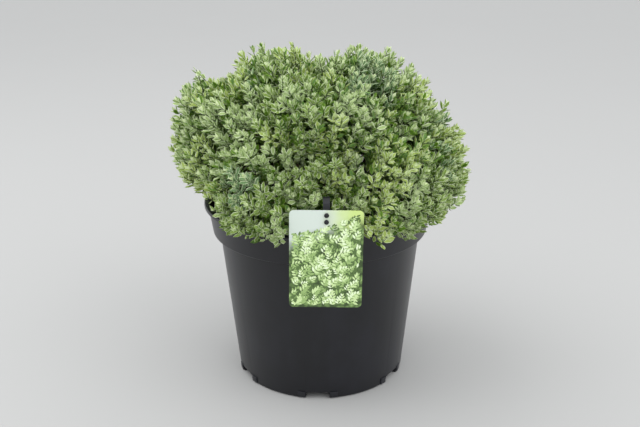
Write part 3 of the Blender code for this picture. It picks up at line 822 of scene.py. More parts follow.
@dataclass(frozen=True)
class Crown:
    """The crown's outline about the fork, and its parting into masses."""

    masses: tuple[Mass, ...] = (
        Mass("top_left", 168, 62, 172 * MM),
        Mass("top_right", 22, 67, 170 * MM),
        Mass("top_back", 94, 45, 163 * MM),
        Mass("top_front", -88, 53, 161 * MM),
        Mass("shoulder_left", 178, 35, 193 * MM),
        Mass("shoulder_right", 8, 48, 178 * MM),
        Mass("side_left", -171, 14, 174 * MM, 10),
        Mass("side_right", -9, 10, 172 * MM, -6),
        Mass("front_left", -124, 11, 166 * MM, -2),
        Mass("front_middle", -88, 21, 137 * MM),
        Mass("front_right", -51, 10, 167 * MM, -3),
        Mass("back_left", 136, 10, 164 * MM),
        Mass("back_middle", 90, 10, 153 * MM),
        Mass("back_right", 42, 10, 166 * MM),
    )
    hollows: tuple[Hollow, ...] = (
        Hollow(90, 80, 13, 16 * MM),
        Hollow(62, 79, 5, 26 * MM),
        Hollow(78, 69, 5, 14 * MM),
        Hollow(0, 86, 5, 10 * MM),
        Hollow(30, 73, 4, -8 * MM),
        Hollow(4, 41, 8, 45 * MM),
        Hollow(28, 42, 7, 12 * MM),
        Hollow(-18, 38, 7, 9 * MM),
        Hollow(-10, -6, 10, 31 * MM),
        Hollow(-25, -2, 7, 10 * MM),
        Hollow(-5, 13, 5, 9 * MM),
        Hollow(-2, 26, 6, -5 * MM),
        Hollow(-172, 0, 10, 52 * MM),
        Hollow(-152, -4, 10, 48 * MM),
        Hollow(-170, -6, 6, 13 * MM),
        Hollow(-143, 4, 7, 18 * MM),
        Hollow(-172, 6, 4, -12 * MM),
        Hollow(12, 59, 6, -14 * MM),
        Hollow(167, 63, 4, -20 * MM),
        Hollow(172, 52, 4, 16 * MM),
        Hollow(178, 43, 4, -24 * MM),
        Hollow(-177, 22, 5, -9 * MM),
        Hollow(-146, 49, 5, 19 * MM),
        Hollow(-154, 60, 4, 14 * MM),
        Hollow(-100, 31, 5, 17 * MM),
        Hollow(-74, 30, 5, 19 * MM),
        Hollow(-104, 75, 6, 18 * MM),
        Hollow(-40, 58, 6, 18 * MM),
        Hollow(-84, 18, 5, 14 * MM),
        Hollow(-92, 11, 4, -15 * MM),
    )
    fork_height: float = 213 * MM
    lean_deg: float = 4
    stem_height: float = 23 * MM
    reach_blend_deg: float = 13
    crease_width_deg: float = 18
    crease_depth: float = 10 * MM
    tuck_span_deg: float = 8
    tuck_depth: float = 7 * MM
    tufts: int = 96
    tuft_shake: float = 0.09
    tuft_seed: int = 8
    valley_width_deg: float = 9
    valley_depth: float = 10 * MM
    tuft_height: float = 2 * MM
    flank_smoothness: float = 0.65

    @property
    def fork(self) -> np.ndarray:
        """The middle of the stem's head."""
        return np.array([self.stem_height * math.tan(math.radians(self.lean_deg)), 0, self.fork_height])

    def middles(self) -> np.ndarray:
        """The masses' directions."""
        return np.array([mass.direction() for mass in self.masses])

    def tuft_angles(self, directions: np.ndarray) -> np.ndarray:
        """The angles in degrees from directions to the middles of the small tufts that the masses part into."""
        chance = np.random.default_rng(self.tuft_seed)
        middles = golden_directions(self.tufts)
        middles = unit(middles + chance.normal(0, self.tuft_shake, middles.shape))
        return np.degrees(np.arccos(np.clip(directions @ middles.T, -1, 1)))

    def valleys(self, directions: np.ndarray) -> np.ndarray:
        """How deep in a valley between two tufts each direction lies, from 0 to 1, less on the crown's flanks."""
        nearest = np.partition(self.tuft_angles(directions), 1, axis=-1)
        valley = np.clip(1 - (nearest[:, 1] - nearest[:, 0]) / self.valley_width_deg, 0, None) ** 2
        return valley * (1 - self.flank_smoothness * directions[:, 0] ** 2)

    def owners(self, directions: np.ndarray) -> np.ndarray:
        """The number of the mass that each direction lies in."""
        return np.argmax(directions @ self.middles().T, axis=-1)

    def reach(self, directions: np.ndarray) -> tuple[np.ndarray, np.ndarray]:
        """How far the outline is from the fork, and how low shoots grow, along unit directions.

        Args:
            directions: The directions.

        Returns:
            The reach in metres, and the lowest elevation in degrees.
        """
        angles = np.degrees(np.arccos(np.clip(directions @ self.middles().T, -1, 1)))
        weights = np.exp(-((angles / self.reach_blend_deg) ** 2)) + 1e-12
        weights /= weights.sum(axis=-1, keepdims=True)
        reach = weights @ np.array([mass.reach for mass in self.masses])
        lowest = weights @ np.array([mass.lowest_deg for mass in self.masses])
        nearest = np.sort(angles, axis=-1)
        crease = np.clip(1 - (nearest[:, 1] - nearest[:, 0]) / self.crease_width_deg, 0, None) ** 2
        elevation = np.degrees(np.arcsin(directions[:, 2]))
        tuck = np.clip(1 - (elevation - lowest) / self.tuck_span_deg, 0, None)
        reach = reach - self.crease_depth * crease - self.tuck_depth * tuck
        reach = reach + self.tuft_height - self.valley_depth * self.valleys(directions)
        for hollow in self.hollows:
            angle = np.degrees(np.arccos(np.clip(directions @ hollow.direction(), -1, 1)))
            reach = reach - hollow.depth * np.exp(-((angle / hollow.width_deg) ** 2))
        return reach, lowest


@dataclass(frozen=True)
class KeepClear:
    """The room that leaves and twigs leave to the pot, the card and the strap."""

    rim_height: float = 205 * MM
    rim_radius: float = 130 * MM
    card_middle: tuple[float, float, float] = (6 * MM, -133.6 * MM, 183.3 * MM)
    card_half: tuple[float, float, float] = (38.5 * MM, 2.2 * MM, 54 * MM)
    strap_middle: float = 6.9 * MM
    strap_half: float = 3.5 * MM
    strap_top: float = 247 * MM
    strap_back: float = -113.7 * MM
    strap_front: float = -135.6 * MM

    def holds(self, points: np.ndarray, margin: float) -> np.ndarray:
        """Whether points are free.

        Args:
            points: The points, three numbers each on the last axis.
            margin: How far they must stay off.

        Returns:
            True for each point that is free.
        """
        x, y, z = (points[..., axis] for axis in range(3))
        off_pot = (z > self.rim_height + margin) | (np.hypot(x, y) > self.rim_radius + margin)
        off_card = np.zeros_like(off_pot)
        for value, middle, half in zip((x, y, z), self.card_middle, self.card_half):
            off_card |= np.abs(value - middle) > half + margin
        off_strap = (
            (np.abs(x - self.strap_middle) > self.strap_half + margin)
            | (z > self.strap_top + margin)
            | (y > self.strap_back + margin)
            | (y < self.strap_front - margin)
        )
        return off_pot & off_card & off_strap


@dataclass(frozen=True)
class LeafShape:
    """A cupped leaf, widest past its middle, with a pale edge."""

    length: float = 10.1 * MM
    width: float = 4.6 * MM
    edge: float = 0.56 * MM
    rows: tuple[tuple[float, float], ...] = ((0.29, 0.77), (0.65, 0.97))
    cup: float = 0.8 * MM
    curl: float = 1.7 * MM
    keel: float = 0.25 * MM

    def points(self) -> np.ndarray:
        """The leaf's corners, with its root at the origin, its length along Y and its upper face up."""
        corners = [(0, 0, 0)]
        for along, share in self.rows:
            half = self.width / 2 * share
            for x in (-half, -half + self.edge, 0, half - self.edge, half):
                lift = self.cup * (x / (self.width / 2)) ** 2 - (self.keel if x == 0 else 0)
                corners.append((x, along * self.length, lift + self.curl * along**2))
        corners.append((0, self.length, self.curl))
        return np.array(corners)

    def faces(self) -> tuple[list[list[int]], np.ndarray]:
        """The leaf's faces, and which of them are its edge."""
        faces, rim = [], []
        last = 1 + 5 * len(self.rows)
        for column in range(4):
            outer = column in (0, 3)
            faces.append([0, 2 + column, 1 + column])
            rim.append(outer)
            for row in range(len(self.rows) - 1):
                low = 1 + 5 * row + column
                faces.append([low, low + 1, low + 6, low + 5])
                rim.append(outer)
            faces.append([last - 5 + column, last - 4 + column, last])
            rim.append(outer)
        return faces, np.array(rim)


@dataclass(frozen=True)
class PairRule:
    """One pair of opposite leaves on a shoot."""

    drop: float
    opening_deg: float
    size: float
    is_bud: bool = False


@dataclass(frozen=True)
class Layer:
    """One layer of shoots under the crown's outline; its shade is the share of its leaves that take the painted
    shade tones.
    """

    depth: float
    spread: float
    spacing: float
    shade: float
    clump: float


@dataclass(frozen=True)
class ShootRule:
    """How shoots stand on the crown and carry their leaves."""

    pairs: tuple[PairRule, ...] = (
        PairRule(0.4 * MM, 8, 0.42, True),
        PairRule(1.4 * MM, 23, 0.68, True),
        PairRule(3.1 * MM, 36, 0.88),
        PairRule(5.6 * MM, 47, 1.0),
        PairRule(9.0 * MM, 56, 1.03),
        PairRule(13.0 * MM, 64, 1.0),
        PairRule(17.4 * MM, 70, 0.95),
    )
    layers: tuple[Layer, ...] = (
        Layer(0.5 * MM, 3 * MM, 20 * MM, 0.0, 2 * MM),
        Layer(4.0 * MM, 6 * MM, 12.8 * MM, 0.0, 5 * MM),
        Layer(14 * MM, 7 * MM, 14 * MM, 0.4, 4 * MM),
        Layer(26 * MM, 8 * MM, 18 * MM, 0.85, 2 * MM),
        Layer(38 * MM, 9 * MM, 21 * MM, 1.0, 0.0),
    )
    typical_reach: float = 155 * MM
    clump_span_deg: float = 6
    clump_offset: float = 4 * MM
    # How much a valley raises a leaf's chance of a painted shade tone.
    valley_shade: float = 0.5
    tuft_tone_share: float = 0.5
    rise: float = 0.8
    wander: float = 0.16
    leafy_length: float = 19 * MM
    twig_radius: float = 0.75 * MM
    twig_tip_radius: float = 0.4 * MM


@dataclass
class Shoots:
    """The shoots of the crown as arrays."""

    tips: np.ndarray
    axes: np.ndarray
    owners: np.ndarray
    shades: np.ndarray
    sprays: np.ndarray
    feet: np.ndarray


class Foliage:
    """Sprays, shoots and leaves that grow on from the boughs by the same rule as the solids."""

    BRANCHING = math.radians(40)
    BOUGH_REACH = 52.3 * MM
    STEM_CLEAR = 5 * MM
    SPRAY_SPACING = 28.8 * MM
    SPRAY_DEPTH = 34 * MM
    DROOP_DEG = 6

    def __init__(self, crown: Crown, clear: KeepClear, rule: ShootRule, leaf: LeafShape, seed: int) -> None:
        """Holds what the foliage is grown from."""
        self.crown = crown
        self.clear = clear
        self.rule = rule
        self.leaf = leaf
        self.chance = np.random.default_rng(seed)

    def count(self, spacing: float) -> int:
        """How many even directions give a spacing on the crown."""
        return round(4 * math.pi * self.rule.typical_reach**2 / spacing**2)

    def stem_points(self, owners: np.ndarray, tips: np.ndarray) -> np.ndarray:
        """Where on its mass's stem each twig branches off, at the branching angle.

        Args:
            owners: The masses' numbers.
            tips: Where the twigs end.

        Returns:
            The branching points.
        """
        along_stem = self.crown.middles()[owners]
        out = tips - self.crown.fork
        along = np.sum(out * along_stem, axis=-1)
        off = np.linalg.norm(out - along_stem * along[:, None], axis=-1)
        distance = np.maximum(self.BOUGH_REACH + self.STEM_CLEAR, along - off / math.tan(self.BRANCHING))
        return self.crown.fork + along_stem * distance[:, None]

    def grow_sprays(self) -> tuple[np.ndarray, np.ndarray, np.ndarray]:
        """The first twigs of each mass.

        Returns:
            Their owners, roots and ends.
        """
        toward = golden_directions(self.count(self.SPRAY_SPACING))
        reach, lowest = self.crown.reach(toward)
        toward = toward[np.degrees(np.arcsin(toward[:, 2])) > lowest + 2]
        reach, _ = self.crown.reach(toward)
        owners = self.crown.owners(toward)
        ends = self.crown.fork + toward * (reach - self.SPRAY_DEPTH)[:, None]
        return owners, self.stem_points(owners, ends), ends

    def grow_shoots(self, spray_owners: np.ndarray, spray_roots: np.ndarray, spray_ends: np.ndarray) -> Shoots:
        """The leafy shoots of all layers, each joined to the nearest spray of its mass.

        Args:
            spray_owners: The sprays' masses.
            spray_roots: Where the sprays start.
            spray_ends: Where the sprays end.

        Returns:
            The shoots that have room.
        """
        tips, axes, owners, shades = [], [], [], []
        spray_toward = unit(spray_ends - self.crown.fork)
        offsets = self.chance.random(len(spray_ends)) * self.rule.clump_offset
        for number, layer in enumerate(self.rule.layers):
            toward = golden_directions(self.count(layer.spacing), turn=1.7 * number)
            toward = unit(toward + self.chance.normal(0, 0.022, toward.shape))
            reach, lowest = self.crown.reach(toward)
            low_enough = np.degrees(np.arcsin(toward[:, 2])) > lowest - 1.5 * self.chance.random(len(toward))
            toward, reach = toward[low_enough], reach[low_enough]
            depth = layer.depth + layer.spread * self.chance.random(len(toward)) ** 1.3
            likeness = toward @ spray_toward.T
            off_middle = np.degrees(np.arccos(np.clip(likeness.max(axis=-1), -1, 1)))
            depth += layer.clump * np.clip(off_middle / self.rule.clump_span_deg, 0, 1) ** 2
            depth += offsets[likeness.argmax(axis=-1)] * (layer.clump > 0)
            tips.append(self.crown.fork + toward * (reach - depth)[:, None])
            lean = np.array([0, 0, self.rule.rise]) * (1 - np.clip(toward[:, 2:], 0, 1))
            axes.append(unit(toward + lean + self.chance.normal(0, self.rule.wander, toward.shape)))
            owners.append(self.crown.owners(toward))
            # Painted shade: deeper layers and valleys give more leaves the dark shade tones.
            shades.append(np.clip(layer.shade + self.rule.valley_shade * self.crown.valleys(toward), 0, 1))
        tips, axes, owners, shades = (np.concatenate(parts) for parts in (tips, axes, owners, shades))
        gaps = np.linalg.norm(tips[:, None] - spray_ends[None], axis=-1)
        gaps[owners[:, None] != spray_owners[None]] = 1.0
        sprays = np.argmin(gaps, axis=-1)
        root, end = spray_roots[sprays], spray_ends[sprays]
        axis = unit(end - root)
        out = tips - root
        along = np.sum(out * axis, axis=-1)
        off = np.linalg.norm(out - axis * along[:, None], axis=-1)
        length = np.linalg.norm(end - root, axis=-1)
        feet = root + axis * np.clip(along - off / math.tan(self.BRANCHING), 0.3 * length, length)[:, None]
        steps = np.linspace(0, 1, 9)[None, :, None]
        lines = feet[:, None] + (tips - feet)[:, None] * steps
        room = np.all(self.clear.holds(lines, 0.8 * MM), axis=-1)
        return Shoots(tips[room], axes[room], owners[room], shades[room], sprays[room], feet[room])

    def twig_paths(self, shoots: Shoots) -> np.ndarray:
        """Curves from each shoot's foot to its tip, which end along its axis."""
        bend = shoots.tips - shoots.axes * self.rule.leafy_length
        share = np.linspace(0, 1, 5)[None, :, None]
        start, middle, end = (part[:, None] for part in (shoots.feet, bend, shoots.tips))
        return start * (1 - share) ** 2 + middle * 2 * share * (1 - share) + end * share**2

    def spray_tones(self, spray_ends: np.ndarray) -> np.ndarray:
        """Deals a tone to each spray, often the one that its tuft has.

        Args:
            spray_ends: Where the sprays end.

        Returns:
            A material slot for each spray.
        """
        choices = [tone.slot for tone in (LeafTone.SILVER, LeafTone.FRESH, LeafTone.MIDDLE, LeafTone.BLUE)]
        shares = (0.34, 0.24, 0.3, 0.12)
        own = self.chance.choice(choices, size=len(spray_ends), p=shares)
        tufts = self.chance.choice(choices, size=self.crown.tufts, p=shares)
        nearest = np.argmin(self.crown.tuft_angles(unit(spray_ends - self.crown.fork)), axis=-1)
        shared = self.chance.random(len(spray_ends)) < self.rule.tuft_tone_share
        return np.where(shared, tufts[nearest], own)

    def leaf_arrays(self, shoots: Shoots, spray_ends: np.ndarray) -> tuple[np.ndarray, np.ndarray, np.ndarray]:
        """All leaves in place.

        Args:
            shoots: The shoots.
            spray_ends: Where the sprays end.

        Returns:
            The leaves' corners, their faces' slots and their owners.
        """
        shape = self.leaf.points()
        faces, rim = self.leaf.faces()
        tones = self.spray_tones(spray_ends)[shoots.sprays]
        number = len(shoots.tips)
        start_side = turned_about(across(shoots.axes), shoots.axes, self.chance.uniform(0, math.tau, number))
        shoot_size = self.chance.uniform(0.82, 1.1, number)
        all_points, all_slots, all_owners = [], [], []
        for index, pair in enumerate(self.rule.pairs):
            for half in (0, math.pi):
                turn = index * math.pi / 2 + half + self.chance.normal(0, math.radians(8), number)
                opening = np.radians(pair.opening_deg + self.chance.normal(0, 6, number))[:, None]
                around = turned_about(start_side, shoots.axes, turn)
                along = shoots.axes * np.cos(opening) + around * np.sin(opening)
                upper = shoots.axes * np.sin(opening) - around * np.cos(opening)
                upper = turned_about(upper, along, self.chance.normal(0, math.radians(10), number))
                width = np.cross(along, upper)
                size = (shoot_size * pair.size * self.chance.uniform(0.9, 1.06, number))[:, None]
                root = shoots.tips - shoots.axes * (pair.drop * shoot_size[:, None]) + around * 0.4 * MM
                basis = np.stack([width, along, upper], axis=1) * size[:, None]
                points = root[:, None] + shape @ basis
                slots = np.where(rim[None], LeafTone.PALE_EDGE.slot, tones[:, None])
                if pair.is_bud:
                    slots = np.where(rim[None], LeafTone.PALE_EDGE.slot, LeafTone.BUD.slot)
                    slots = np.broadcast_to(slots, (number, len(faces)))
                # Painted shade: leaves picked by their shoot's shade chance take a dark blade tone and the dull edge
                # tone.
                deep = (self.chance.random(number) < shoots.shades)[:, None]
                dark = np.where(self.chance.random(number) < 0.5, LeafTone.DEEP_SHADE.slot, LeafTone.SHADE.slot)[:, None]
                slots = np.where(deep & rim[None], LeafTone.SHADE_EDGE.slot, slots)
                slots = np.where(deep & ~rim[None], dark, slots)
                all_points.append(points)
                all_slots.append(slots)
                all_owners.append(shoots.owners)
        return np.concatenate(all_points), np.concatenate(all_slots), np.concatenate(all_owners)

    def kept(self, points: np.ndarray) -> np.ndarray:
        """Which leaves stay inside the outline and off the pot and the label."""
        out = points[:, -1] - self.crown.fork
        distance = np.linalg.norm(out, axis=-1)
        toward = out / distance[:, None]
        reach, lowest = self.crown.reach(toward)
        elevation = np.degrees(np.arcsin(toward[:, 2]))
        inside = (distance <= reach + 3 * MM) & (elevation > lowest - self.DROOP_DEG)
        return inside & np.all(self.clear.holds(points, 0.4 * MM), axis=-1)

    def build(self, bark: bpy.types.Material) -> None:
        """Builds the leaves and twigs of every mass.

        Args:
            bark: The twigs' material.
        """
        spray_owners, spray_roots, spray_ends = self.grow_sprays()
        shoots = self.grow_shoots(spray_owners, spray_roots, spray_ends)
        points, slots, owners = self.leaf_arrays(shoots, spray_ends)
        kept = self.kept(points)
        points, slots, owners = points[kept], slots[kept], owners[kept]
        faces, _ = self.leaf.faces()
        tones = [tone.value.material() for tone in LeafTone]
        young = PlainTone("young_stem", linear(70, 84, 44)).material()
        paths = self.twig_paths(shoots)
        thin = np.linspace(self.rule.twig_radius, self.rule.twig_tip_radius, paths.shape[1])
        spray_steps = np.linspace(0, 1, 4)[None, :, None]
        spray_paths = spray_roots[:, None] + (spray_ends - spray_roots)[:, None] * spray_steps
        spray_thin = np.linspace(1.3 * MM, 0.9 * MM, 4)
        for number, mass in enumerate(self.crown.masses):
            mine = owners == number
            leaves = JoinedMesh()
            leaves.add(points[mine], faces, slots[mine])
            finish_piece(leaves.build(f"leaves_{mass.name}"), tones, [f"foliage_{mass.name}"])
            twigs = JoinedMesh()
            for slot, group, radii, sides in (
                (1, paths[shoots.owners == number], thin, 4),
                (0, spray_paths[spray_owners == number], spray_thin, 5),
                (0, self.stem_path(mass), np.linspace(1.7 * MM, 1.1 * MM, 6), 7),
            ):
                tube_points, tube_faces = tubes(group, np.broadcast_to(radii, group.shape[:2]), sides)
                twigs.add(tube_points, tube_faces, np.full(len(tube_faces), slot))
            finish_piece(twigs.build(f"twigs_{mass.name}"), [bark, young], [f"foliage_{mass.name}"])
            LOG.info("mass %s: %d leaves, %d shoots", mass.name, mine.sum(), (shoots.owners == number).sum())
        LOG.info("foliage: %d leaves, %d triangles", len(points), len(points) * 16)

    def stem_path(self, mass: Mass) -> np.ndarray:
        """The straight stem of a mass, from its bough's tip to under its outline."""
        direction = mass.direction()
        distance = np.linspace(self.BOUGH_REACH, mass.reach - self.SPRAY_DEPTH, 6)
        return (self.crown.fork + direction * distance[:, None])[None]


@dataclass
class Limbs:
    """The short stem and the boughs, with the bark's relief in the mesh."""

    crown: Crown
    soil: float = 190 * MM
    flare_radius: float = 14 * MM
    bend_radius: float = 10.3 * MM
    bend_height: float = 3 * MM
    neck_radius: float = 8.5 * MM
    neck_height: float = 7.2 * MM
    head_radius: float = 15.5 * MM
    lobes: int = 5
    lobe_depth: float = 0.14
    relief: float = 0.5 * MM
    bough_root: float = 2.4 * MM
    bough_tip: float = 1.6 * MM
    bough_end: float = 52 * MM
    bough_bow: float = 2 * MM

    def stem(self) -> bmesh.types.BMesh:
        """The stem, turned, roughened, lobed at its flare and leaned."""
        height = self.crown.stem_height
        neck = height - math.sqrt(self.head_radius**2 - (self.neck_radius + MM) ** 2)
        start = math.pi - math.acos((height - neck) / self.head_radius)
        arc = [start * step / 18 for step in range(19)]
        head = [(self.head_radius * math.sin(turn), height + self.head_radius * math.cos(turn)) for turn in arc]
        lower = [
            (self.neck_radius, self.neck_height),
            (self.neck_radius + 0.4 * MM, (self.neck_height + self.bend_height) / 2),
            (self.bend_radius, self.bend_height),
            (self.flare_radius, 0),
            (0, 0),
        ]
        bm = turned(head + lower, 60)
        for vert in bm.verts:
            out = Vector((vert.co.x, vert.co.y, 0))
            if out.length < MM or vert.co.z <= 0:
                continue
            bearing = math.atan2(vert.co.y, vert.co.x)
            fade = max(0.0, 1 - vert.co.z / (9 * MM))
            swell = self.lobe_depth * fade * math.cos(self.lobes * bearing) * out.length
            grain = noise.noise(Vector((vert.co.x * 500, vert.co.y * 500, vert.co.z * 120)))
            vert.co += out.normalized() * (swell + grain * self.relief)
        lean = Matrix.Rotation(math.radians(self.crown.lean_deg), 3, "Y")
        bmesh.ops.rotate(bm, verts=bm.verts, cent=(0, 0, 0), matrix=lean)
        bmesh.ops.translate(bm, verts=bm.verts, vec=(0, 0, self.soil))
        return bm

    def bough(self, bm: bmesh.types.BMesh, mass: Mass) -> None:
        """Adds one tapering limb that bows a little and has ridged bark.

        Args:
            bm: Where it is added.
            mass: The mass that it carries.
        """
        fork = Vector(self.crown.fork)
        direction = Vector(mass.direction())
        start = fork + direction * (self.head_radius - MM)
        end = fork + direction * self.bough_end
        bow = direction.orthogonal().normalized() * self.bough_bow
        turn = direction.to_track_quat("Z", "Y").to_matrix()
        older = len(bm.verts)
        made = bmesh.ops.create_cone(
            bm, cap_ends=True, segments=14, radius1=self.bough_root, radius2=self.bough_tip, depth=1
        )["verts"]
        edges = {edge for vert in made for edge in vert.link_edges}
        sides = [edge for edge in edges if abs(edge.verts[0].co.z - edge.verts[1].co.z) > 0.5]
        bmesh.ops.subdivide_edges(bm, edges=sides, cuts=11, use_grid_fill=True)
        for vert in list(bm.verts)[older:]:
            share = vert.co.z + 0.5
            radial = Vector((vert.co.x, vert.co.y, 0))
            place = start.lerp(end, share) + bow * math.sin(math.pi * share)
            grain = noise.noise(Vector((radial.x * 900, radial.y * 900, share * 9 + mass.bearing_deg)))
            vert.co = place + turn @ (radial * (1 + 0.16 * grain))

    def build(self, finish: Bark) -> bpy.types.Material:
        """Builds and dresses the stem and the boughs.

        Args:
            finish: The bark.

        Returns:
            The bark's material, for the twigs.
        """
        bark = finish.material()
        finish_piece(from_bmesh("stem_bark", self.stem(), 60), [bark], ["trunk"])
        bm = bmesh.new()
        for mass in self.crown.masses:
            self.bough(bm, mass)
        bmesh.ops.recalc_face_normals(bm, faces=bm.faces)
        nodes = [f"bough_{mass.name}" for mass in self.crown.masses]
        finish_piece(from_bmesh("bough_bark", bm, 60), [bark], nodes)
        return bark


@dataclass
class PottingMix:
    """The potting mix with an uneven top, and crumbs of bark strewn on it."""

    top: float = 190 * MM
    edge_top: float = 187 * MM
    level_radius: float = 30 * MM
    edge_radius: float = 120.5 * MM
    foot_radius: float = 95 * MM
    foot_height: float = 13 * MM
    unevenness: float = 1.6 * MM
    crumbs: int = 1500
    seed: int = 11

    def top_at(self, radius: float) -> float:
        """The even top's height at a distance from the middle."""
        share = (radius - self.level_radius) / (self.edge_radius - self.level_radius)
        return self.top - min(max(share, 0.0), 1.0) * (self.top - self.edge_top)

    def surface(self) -> bpy.types.Object:
        """The closed body with its uneven top."""
        radii = [self.edge_radius * step / 26 for step in range(27)]
        profile = [(radius, self.top_at(radius)) for radius in radii]
        profile += [(118.4 * MM, 173 * MM), (111 * MM, 168.5 * MM), (self.foot_radius, self.foot_height)]
        profile.append((0, self.foot_height))
        bm = turned(profile, 96)
        for vert in bm.verts:
            radius = math.hypot(vert.co.x, vert.co.y)
            if vert.co.z > self.edge_top - MM and radius < self.edge_radius - MM:
                vert.co.z += noise.fractal(vert.co * 120, 0.6, 2.0, 4) * self.unevenness
        return from_bmesh("mix_surface", bm, 80)

    def crumb_pieces(self) -> bpy.types.Object:
        """Flat chips and lumps strewn over the top."""
        chance = np.random.default_rng(self.seed)
        radius = np.sqrt(chance.random(self.crumbs)) * (self.edge_radius - 3 * MM)
        bearing = chance.uniform(0, math.tau, self.crumbs)
        height = np.array([self.top_at(value) for value in radius]) + chance.uniform(0, 1.2 * MM, self.crumbs)
        place = np.stack([radius * np.cos(bearing), radius * np.sin(bearing), height], axis=-1)
        shape = np.array([(1, 0, 0), (0, 1, 0), (-1, 0, 0), (0, -1, 0), (0, 0, 1), (0, 0, -1)], dtype=float)
        faces = [[0, 1, 4], [1, 2, 4], [2, 3, 4], [3, 0, 4], [1, 0, 5], [2, 1, 5], [3, 2, 5], [0, 3, 5]]
        size = chance.uniform(0.6 * MM, 2.6 * MM, self.crumbs)[:, None, None]
        uneven = chance.uniform(0.4, 1.0, (self.crumbs, 1, 3)) * np.array([1.0, 0.7, 0.35])
        up = unit(chance.normal(0, 0.35, (self.crumbs, 3)) + np.array([0, 0, 1.0]))
        side = turned_about(across(up), up, chance.uniform(0, math.tau, self.crumbs))
        basis = np.stack([side, np.cross(up, side), up], axis=1)
        crumbs = JoinedMesh()
        crumbs.add(place[:, None] + (shape * size * uneven) @ basis, faces, np.zeros(len(faces), dtype=int))
        return crumbs.build("mix_crumbs")

    def build(self, finish: Crumbs, flecks: Crumbs) -> None:
        """Builds and dresses the mix.

        Args:
            finish: The peat.
            flecks: The bark chips.
        """
        finish_piece(self.surface(), [finish.material()], ["potting_mix"])
        finish_piece(self.crumb_pieces(), [flecks.material()])


@dataclass
class PlantLabel:
    """The print on the card: leafy sprigs in flat greens, with no lettering."""

    middle: tuple[float, float, float] = (6 * MM, -133.6 * MM, 183.3 * MM)
    width: float = 74 * MM
    height: float = 105 * MM
    thickness: float = 0.8 * MM
    tilt_deg: float = 1.1
    picture_left: float = 27 * MM
    picture_right: float = 50 * MM
    margin: float = 0.9 * MM
    sprigs: int = 420
    seed: int = 5

    def picture_top(self, x: float) -> float:
        """How high the sprigs go at a distance across the card."""
        share = min(max(x / self.width + 0.5, 0.0), 1.0)
        return self.picture_left + (self.picture_right - self.picture_left) * share**1.5

    def sprig_leaves(self) -> Iterable[tuple[float, float, float, float, float, int]]:
        """Deals out the printed leaves, sprig by sprig, with the darker ones behind.

        Yields:
            Across, up, length, width, turn and tone of each leaf.
        """
        chance = np.random.default_rng(self.seed)
        tones = np.sort(chance.choice(4, size=self.sprigs, p=(0.28, 0.33, 0.25, 0.14)))
        for tone in tones:
            x = chance.uniform(-self.width / 2, self.width / 2)
            y = chance.uniform(-self.height / 2, self.picture_top(x))
            heading = chance.uniform(0.2, 2.4)
            length = chance.uniform(3.8, 6.6) * MM
            for pair in range(3):
                reach = pair * length * 0.52
                root_x, root_y = x + reach * math.cos(heading), y + reach * math.sin(heading)
                for side in (-1, 1):
                    turn = heading + side * (0.98 - 0.27 * pair)
                    ink = max(int(tone) - (side < 0), 0)
                    yield root_x, root_y, length * (1 - 0.14 * pair), length * 0.38, turn, ink

    def fits(self, x: float, y: float, reach: float) -> bool:
        """Whether a printed leaf stays on the card's picture."""
        inside = abs(x) < self.width / 2 - self.margin - reach
        return inside and -self.height / 2 + self.margin + reach < y < self.picture_top(x)

    def build(self, card: bpy.types.Object, paper: PrintedCard, inks: Sequence[PlainTone]) -> None:
        """Dresses the card and prints the sprigs on it.

        Args:
            card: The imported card.
            paper: The card's finish.
            inks: The leaves' colours.
        """
        card.data.materials.clear()
        card.data.materials.append(paper.material())
        outline = [(0, 0), (0.22, 0.32), (0.5, 0.5), (0.78, 0.34), (1, 0), (0.78, -0.34), (0.5, -0.5), (0.22, -0.32)]
        shape = np.array([(x, y, 0) for x, y in outline])
        upright = Matrix.Rotation(math.radians(self.tilt_deg), 4, "Y") @ Matrix.Rotation(math.pi / 2, 4, "X")
        place = np.array(Matrix.Translation(self.middle) @ upright)
        leaves, tones = [], []
        for x, y, length, width, turn, tone in self.sprig_leaves():
            if not self.fits(x + math.cos(turn) * length / 2, y + math.sin(turn) * length / 2, length / 2):
                continue
            spin = np.array(Matrix.Rotation(turn, 3, "Z"))
            lift = self.thickness / 2 + (0.02 + 0.00008 * len(leaves)) * MM
            flat = (shape * (length, width, 1)) @ spin.T + (x, y, lift)
            leaves.append(flat @ place[:3, :3].T + place[:3, 3])
            tones.append(tone)
        prints = JoinedMesh()
        prints.add(np.array(leaves), [list(range(len(outline)))[::-1]], np.array(tones)[:, None])
        finish_piece(prints.build("card_sprigs"), [ink.material() for ink in inks])


@dataclass
class Holder:
    """The black strap over the rim, with domed caps on its two pegs."""

    cap_radius: float = 2.45 * MM
    cap_depth: float = 0.9 * MM
    cap_front: float = -135.5 * MM
    peg_heights: tuple[float, float] = (230.8 * MM, 223.8 * MM)
    peg_across: tuple[float, float] = (6.91 * MM, 6.78 * MM)

    def build(self, strap: bpy.types.Object, finish: MouldedPlastic) -> None:
        """Dresses the strap and caps the pegs.

        Args:
            strap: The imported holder.
            finish: The plastic.
        """
        material = finish.material()
        strap.data.materials.clear()
        strap.data.materials.append(material)
        bm = bmesh.new()
        for x, z in zip(self.peg_across, self.peg_heights):
            made = bmesh.ops.create_uvsphere(bm, u_segments=28, v_segments=12, radius=1)["verts"]
            bmesh.ops.scale(bm, verts=made, vec=(self.cap_radius, self.cap_depth, self.cap_radius))
            bmesh.ops.translate(bm, verts=made, vec=(x, self.cap_front, z))
        finish_piece(from_bmesh("holder_caps", bm), [material])


